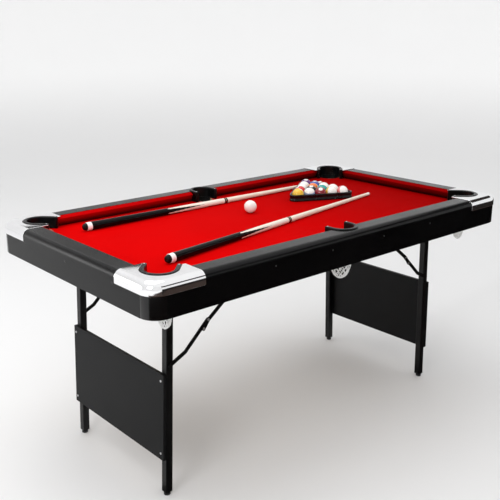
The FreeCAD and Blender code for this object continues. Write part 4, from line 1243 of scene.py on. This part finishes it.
def make_cue(name, node, body, butt_xy, tip_xy, point0, point1, joint_x, rear):
    """Lathe-turned cue: bumper, ring, butt with inlaid points, joint, shaft, ferrule and tip."""
    lo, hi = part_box(node)
    L, rb, rt = 1.220, 0.015, 0.0062
    slope = math.atan2(rb - rt, L - 0.044)
    head = Vector((tip_xy[0] - butt_xy[0], tip_xy[1] - butt_xy[1], 0)).normalized()
    z0 = BED_Z + 0.00025 + rb / math.cos(slope) + 0.030 * math.sin(slope)
    axis = (head * math.cos(slope) + Vector((0, 0, -math.sin(slope)))).normalized()
    start = Vector((butt_xy[0], butt_xy[1], z0))
    side = Vector((0, 0, 1)).cross(axis).normalized()
    up = axis.cross(side).normalized()

    def rad(s):
        tab = [(0, 0.0072), (0.0020, 0.0098), (0.0050, 0.0113), (0.0088, 0.0118), (0.0118, 0.0118), (0.0122, 0.0136), (0.0135, 0.01455), (0.030, 0.0150), (L - 0.014, 0.0062), (L - 0.004, 0.0060), (L, 0.0037)]
        for (s0, r0), (s1, r1) in zip(tab[:-1], tab[1:]):
            if s <= s1:
                return r0 + (r1 - r0) * (s - s0) / (s1 - s0)
        return tab[-1][1]
    jl = (joint_x - butt_xy[0]) / head.x
    p0, p1 = (point0 - butt_xy[0]) / head.x, (point1 - butt_xy[0]) / head.x
    marks = [0.0, 0.0008, 0.0020, 0.0035, 0.0050, 0.0068, 0.0088, 0.0118, 0.0122, 0.0127, 0.0135, 0.020, 0.0305, 0.0308, 0.0311, 0.040]
    s = 0.05
    while s < p0:
        marks.append(s)
        s += 0.02
    s = p0
    while s <= p1:
        marks.append(s)
        s += 0.0016
    s = p1 + 0.01
    while s < jl - 0.012:
        marks.append(s)
        s += 0.02
    marks += [jl - 0.0100, jl - 0.0097, jl - 0.0050, jl - 0.0047, jl - 0.0005, jl, jl + 0.0008, jl + 0.0050, jl + 0.0053]
    s = jl + 0.02
    while s < L - 0.03:
        marks.append(s)
        s += 0.02
    marks += [L - 0.0245, L - 0.0240, L - 0.0145, L - 0.0120, L - 0.0118, L - 0.0085, L - 0.0055, L - 0.004, L - 0.002, L - 0.0008, L - 0.0001]
    marks = sorted(set(round(v, 5) for v in marks))
    segs = 72
    verts, faces, fm = [], [], []
    groove = {round(jl, 5): 0.0004, round(0.0308, 5): 0.0003, round(L - 0.0120, 5): 0.0002}
    for s in marks:
        r = rad(s) - groove.get(s, 0.0)
        if s < 0.0016:
            r *= 0.90
        if s > L - 0.0003:
            r *= 0.86
        for i in range(segs):
            a = TAU * i / segs
            v = start + axis * s + (side * math.cos(a) + up * math.sin(a)) * r
            verts.append((v.x, v.y, v.z))
    first = len(verts)
    v = start
    verts.append((v.x, v.y, v.z))
    v = start + axis * (L - 0.00003)
    verts.append((v.x, v.y, v.z))
    for i in range(segs):
        faces.append((first, (i + 1) % segs, i))
        fm.append(4)
    for j in range(len(marks) - 1):
        s = (marks[j] + marks[j + 1]) / 2
        for i in range(segs):
            i2 = (i + 1) % segs
            a = TAU * (i + 0.5) / segs
            if s < 0.0121:
                k = 4
            elif s < 0.0309:
                k = 3
            elif s < p0:
                k = 0
            elif s < p1:
                # four long black points let into the cream wood
                t = (s - p0) / (p1 - p0)
                u = (a / TAU * 4 + 0.70) % 1.0
                d = abs(u - 0.5) * 2
                k = 0 if d < 0.80 * (1 - t) else 2
            elif s < jl - 0.0100:
                k = 2
            elif s < jl - 0.0048:
                k = 0
            elif s < jl - 0.0003:
                k = 5
            elif s < jl + 0.0052:
                k = 0
            elif s < L - 0.0242:
                k = 1
            elif s < L - 0.0086:
                k = 3
            else:
                k = 6
            faces.append((j * segs + i, j * segs + i2, (j + 1) * segs + i2, (j + 1) * segs + i))
            fm.append(k)
    lastr = (len(marks) - 1) * segs
    for i in range(segs):
        faces.append((first + 1, lastr + i, lastr + (i + 1) % segs))
        fm.append(6)
    # object space along the cue, so the grain follows it
    mw = Matrix((axis, side, up)).transposed().to_4x4()
    mw.translation = start
    inv = mw.inverted()
    local = [inv @ Vector(v) for v in verts]
    o = link_mesh(name, local, faces, [M_BUTT, M_MAPLE, M_CREAM, M_RING, M_BUMP, M_JOINT, M_LEATH], face_mats=fm, auto=math.radians(40))
    o.matrix_world = mw
    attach(o, body)
    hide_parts(node)
    return o


make_cue("front_cue_turned", "front_cue", "front_cue_body", (-0.627, -0.235), (0.580, -0.017), -0.281, -0.111, 0.002, False)
make_cue("rear_cue_turned", "rear_cue", "rear_cue_body", (-0.625, 0.258), (0.595, 0.2706), -0.263, -0.088, 0.027, True)

# ------------------------------------------------------------------ brace rivets
for side, sx in (("left", -1), ("right", 1)):
    parts = []
    for sy in (-1, 1):
        for px, pz in ((0.500, 0.564), (0.519, 0.538)):
            prof = [(0.0, 0.0), (0.0050, 0.0), (0.0050, 0.0006), (0.0047, 0.0012), (0.0038, 0.0018), (0.0024, 0.0022), (0.0, 0.0023)]
            parts.append(lathe_data(prof, Vector((sx * px, sy * 0.2785, pz)), (0, sy, 0), 28))
    v, f = merge(parts)
    o = link_mesh(side + "_brace_rivet_heads", v, f, [M_ZINC], auto=math.radians(40))
    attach(o, side + "_brace_upper")

# ------------------------------------------------------------------ leveller feet
for s in ("left", "right"):
    for e in ("front", "rear"):
        node = s + "_" + e + "_leveller"
        lo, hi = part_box(node)
        body = s + "_" + e + "_foot"
        sx = -1 if s == "left" else 1
        sy = -1 if e == "front" else 1
        leg_lo, leg_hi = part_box(s + "_leg_" + e)
        c = Vector((sx * 0.662, sy * 0.258, 0))
        prof = [(0.0, 0.0002), (0.0100, 0.0002), (0.0107, 0.0008), (0.0109, 0.0020), (0.0109, 0.0056), (0.0105, 0.0069), (0.0094, 0.0078),
                (0.0064, 0.0080), (0.0, 0.0080)]
        pad = lathe_data(prof, c, (0, 0, 1), 40)
        v, f = merge([pad])
        o = link_mesh(node + "_pad", v, f, [M_RUBBER], auto=math.radians(40))
        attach(o, body)
        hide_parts(node)
        tilt = Vector((-sx * math.sin(math.radians(1.75)), 0, math.cos(math.radians(1.75))))
        parts = []
        r0, pitch = 0.0039, 0.00125
        prof = [(0.0, 0.0)]
        h = 0.0
        top = 0.0335
        while h < top:
            prof += [(r0 - 0.0006, h), (r0, h + pitch / 2)]
            h += pitch
        prof += [(r0 - 0.0006, h), (0.0, h)]
        parts.append(lathe_data(prof, c + Vector((0, 0, 0.0079)), tilt, 28))
        v, f = merge(parts)
        o = link_mesh(node + "_stem", v, f, [M_ZINC], auto=math.radians(30))
        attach(o, body)

# ------------------------------------------------------------------ floor, backdrop, lights
def mat_floor():
    m, nt, b = new_mat("studio_floor")
    g = G(nt)
    v = g.coord()
    x, y, z = g.sep(v)
    n1 = g.noise(v, 1.3, 3)
    # painted light falloff: the floor colour darkens towards +x, where less light reaches; it turns paler up the
    # backdrop wall
    near = g.mix(g.maprange(x, -1.6, 1.2, 0.0, 1.0, True), (0.86, 0.86, 0.862), (0.76, 0.76, 0.762))
    col = g.mix(g.maprange(z, 0.0, 0.9, 0.0, 1.0, True), near, (0.965, 0.965, 0.965))
    g.link(g.mix(g.math("MULTIPLY", n1, 0.05), col, (0.70, 0.70, 0.71)), b.inputs["Base Color"])
    b.inputs["Roughness"].default_value = 0.75
    b.inputs["Specular IOR Level"].default_value = 0.25
    return m


def make_dish():
    """Pale floor that curves up into a backdrop all round."""
    prof = [(0.0, 0.0), (1.0, 0.0), (2.5, 0.0), (4.0, 0.0), (5.5, 0.0)]
    for i in range(1, 13):
        a = math.pi / 2 * i / 12
        prof.append((5.5 + 3.0 * math.sin(a), 3.0 - 3.0 * math.cos(a)))
    prof.append((8.6, 6.5))
    v, f = lathe_data(prof, (0, 0, 0), (0, 0, 1), 96)
    return link_mesh("studio_dish", v, f, [mat_floor()])


dish = make_dish()

# Dark cards that only glossy surfaces see, as a product photographer sets them.
def make_card(name, radius, az0, az1, z0, z1):
    verts, faces = [], []
    n = 24
    for i in range(n + 1):
        a = math.radians(az0 + (az1 - az0) * i / n)
        verts.append((radius * math.cos(a), radius * math.sin(a), z0))
        verts.append((radius * math.cos(a), radius * math.sin(a), z1))
    for i in range(n):
        faces.append((2 * i, 2 * i + 2, 2 * i + 3, 2 * i + 1))
    m, nt, b = new_mat(name)
    g = G(nt)
    g.link(g.mix(g.noise(g.coord(), 3.0, 2), (0.006, 0.004, 0.003), (0.014, 0.008, 0.006)), b.inputs["Base Color"])
    b.inputs["Roughness"].default_value = 0.95
    o = link_mesh(name, verts, faces, [m])
    o.visible_camera = False
    o.visible_diffuse = False
    o.visible_shadow = False
    o.visible_transmission = False
    return o


make_card("card_front_low", 2.6, -108, 4, 0.01, 0.78)
make_card("card_front_high", 2.6, -108, 4, 1.75, 2.45)
# a small one behind the table keeps the top of the near end rail dark
make_card("card_rear", 2.74, 65.5, 84.5, 1.492, 1.890)


def make_floor_card(name, r0, r1, az0, az1, z):
    """The same, lying on the floor before the long side."""
    verts, faces = [], []
    n = 24
    for i in range(n + 1):
        a = math.radians(az0 + (az1 - az0) * i / n)
        verts.append((r0 * math.cos(a), r0 * math.sin(a), z))
        verts.append((r1 * math.cos(a), r1 * math.sin(a), z))
    for i in range(n):
        faces.append((2 * i, 2 * i + 2, 2 * i + 3, 2 * i + 1))
    m, nt, b = new_mat(name)
    g = G(nt)
    g.link(g.mix(g.noise(g.coord(), 3.0, 2), (0.020, 0.009, 0.005), (0.034, 0.015, 0.009)), b.inputs["Base Color"])
    b.inputs["Roughness"].default_value = 0.95
    o = link_mesh(name, verts, faces, [m])
    o.visible_camera = False
    o.visible_diffuse = False
    o.visible_shadow = False
    o.visible_transmission = False
    return o


make_floor_card("card_front_floor", 0.62, 3.0, -162, 6, 0.012)

world = bpy.data.worlds.new("studio")
bpy.context.scene.world = world
world.use_nodes = True
wb = world.node_tree.nodes["Background"]
wb.inputs["Color"].default_value = (1.0, 1.0, 1.0, 1)
wb.inputs["Strength"].default_value = 0.98
bpy.context.scene.view_settings.view_transform = "Standard"


def area(name, loc, target, size, power, size_y=None, color=(1, 1, 1)):
    d = bpy.data.lights.new(name, "AREA")
    d.shape = "RECTANGLE"
    d.size = size
    d.size_y = size_y or size
    d.energy = power
    d.color = color
    o = bpy.data.objects.new(name, d)
    bpy.context.scene.collection.objects.link(o)
    o.location = loc
    o.rotation_euler = (Vector(target) - Vector(loc)).to_track_quat("-Z", "Y").to_euler()
    o.visible_camera = False
    return o


area("top_soft", (-0.5, 0.8, 4.3), (-0.2, 0, 0.7), 3.6, 52.0, 3.0)
area("left_rear_soft", (-3.3, 2.3, 0.9), (-0.8, -0.1, 0.6), 2.4, 32.0, 1.5).visible_diffuse = False
area("left_soft", (-4.2, -1.6, 2.6), (-0.2, 0, 0.6), 1.8, 48.0, 1.8)
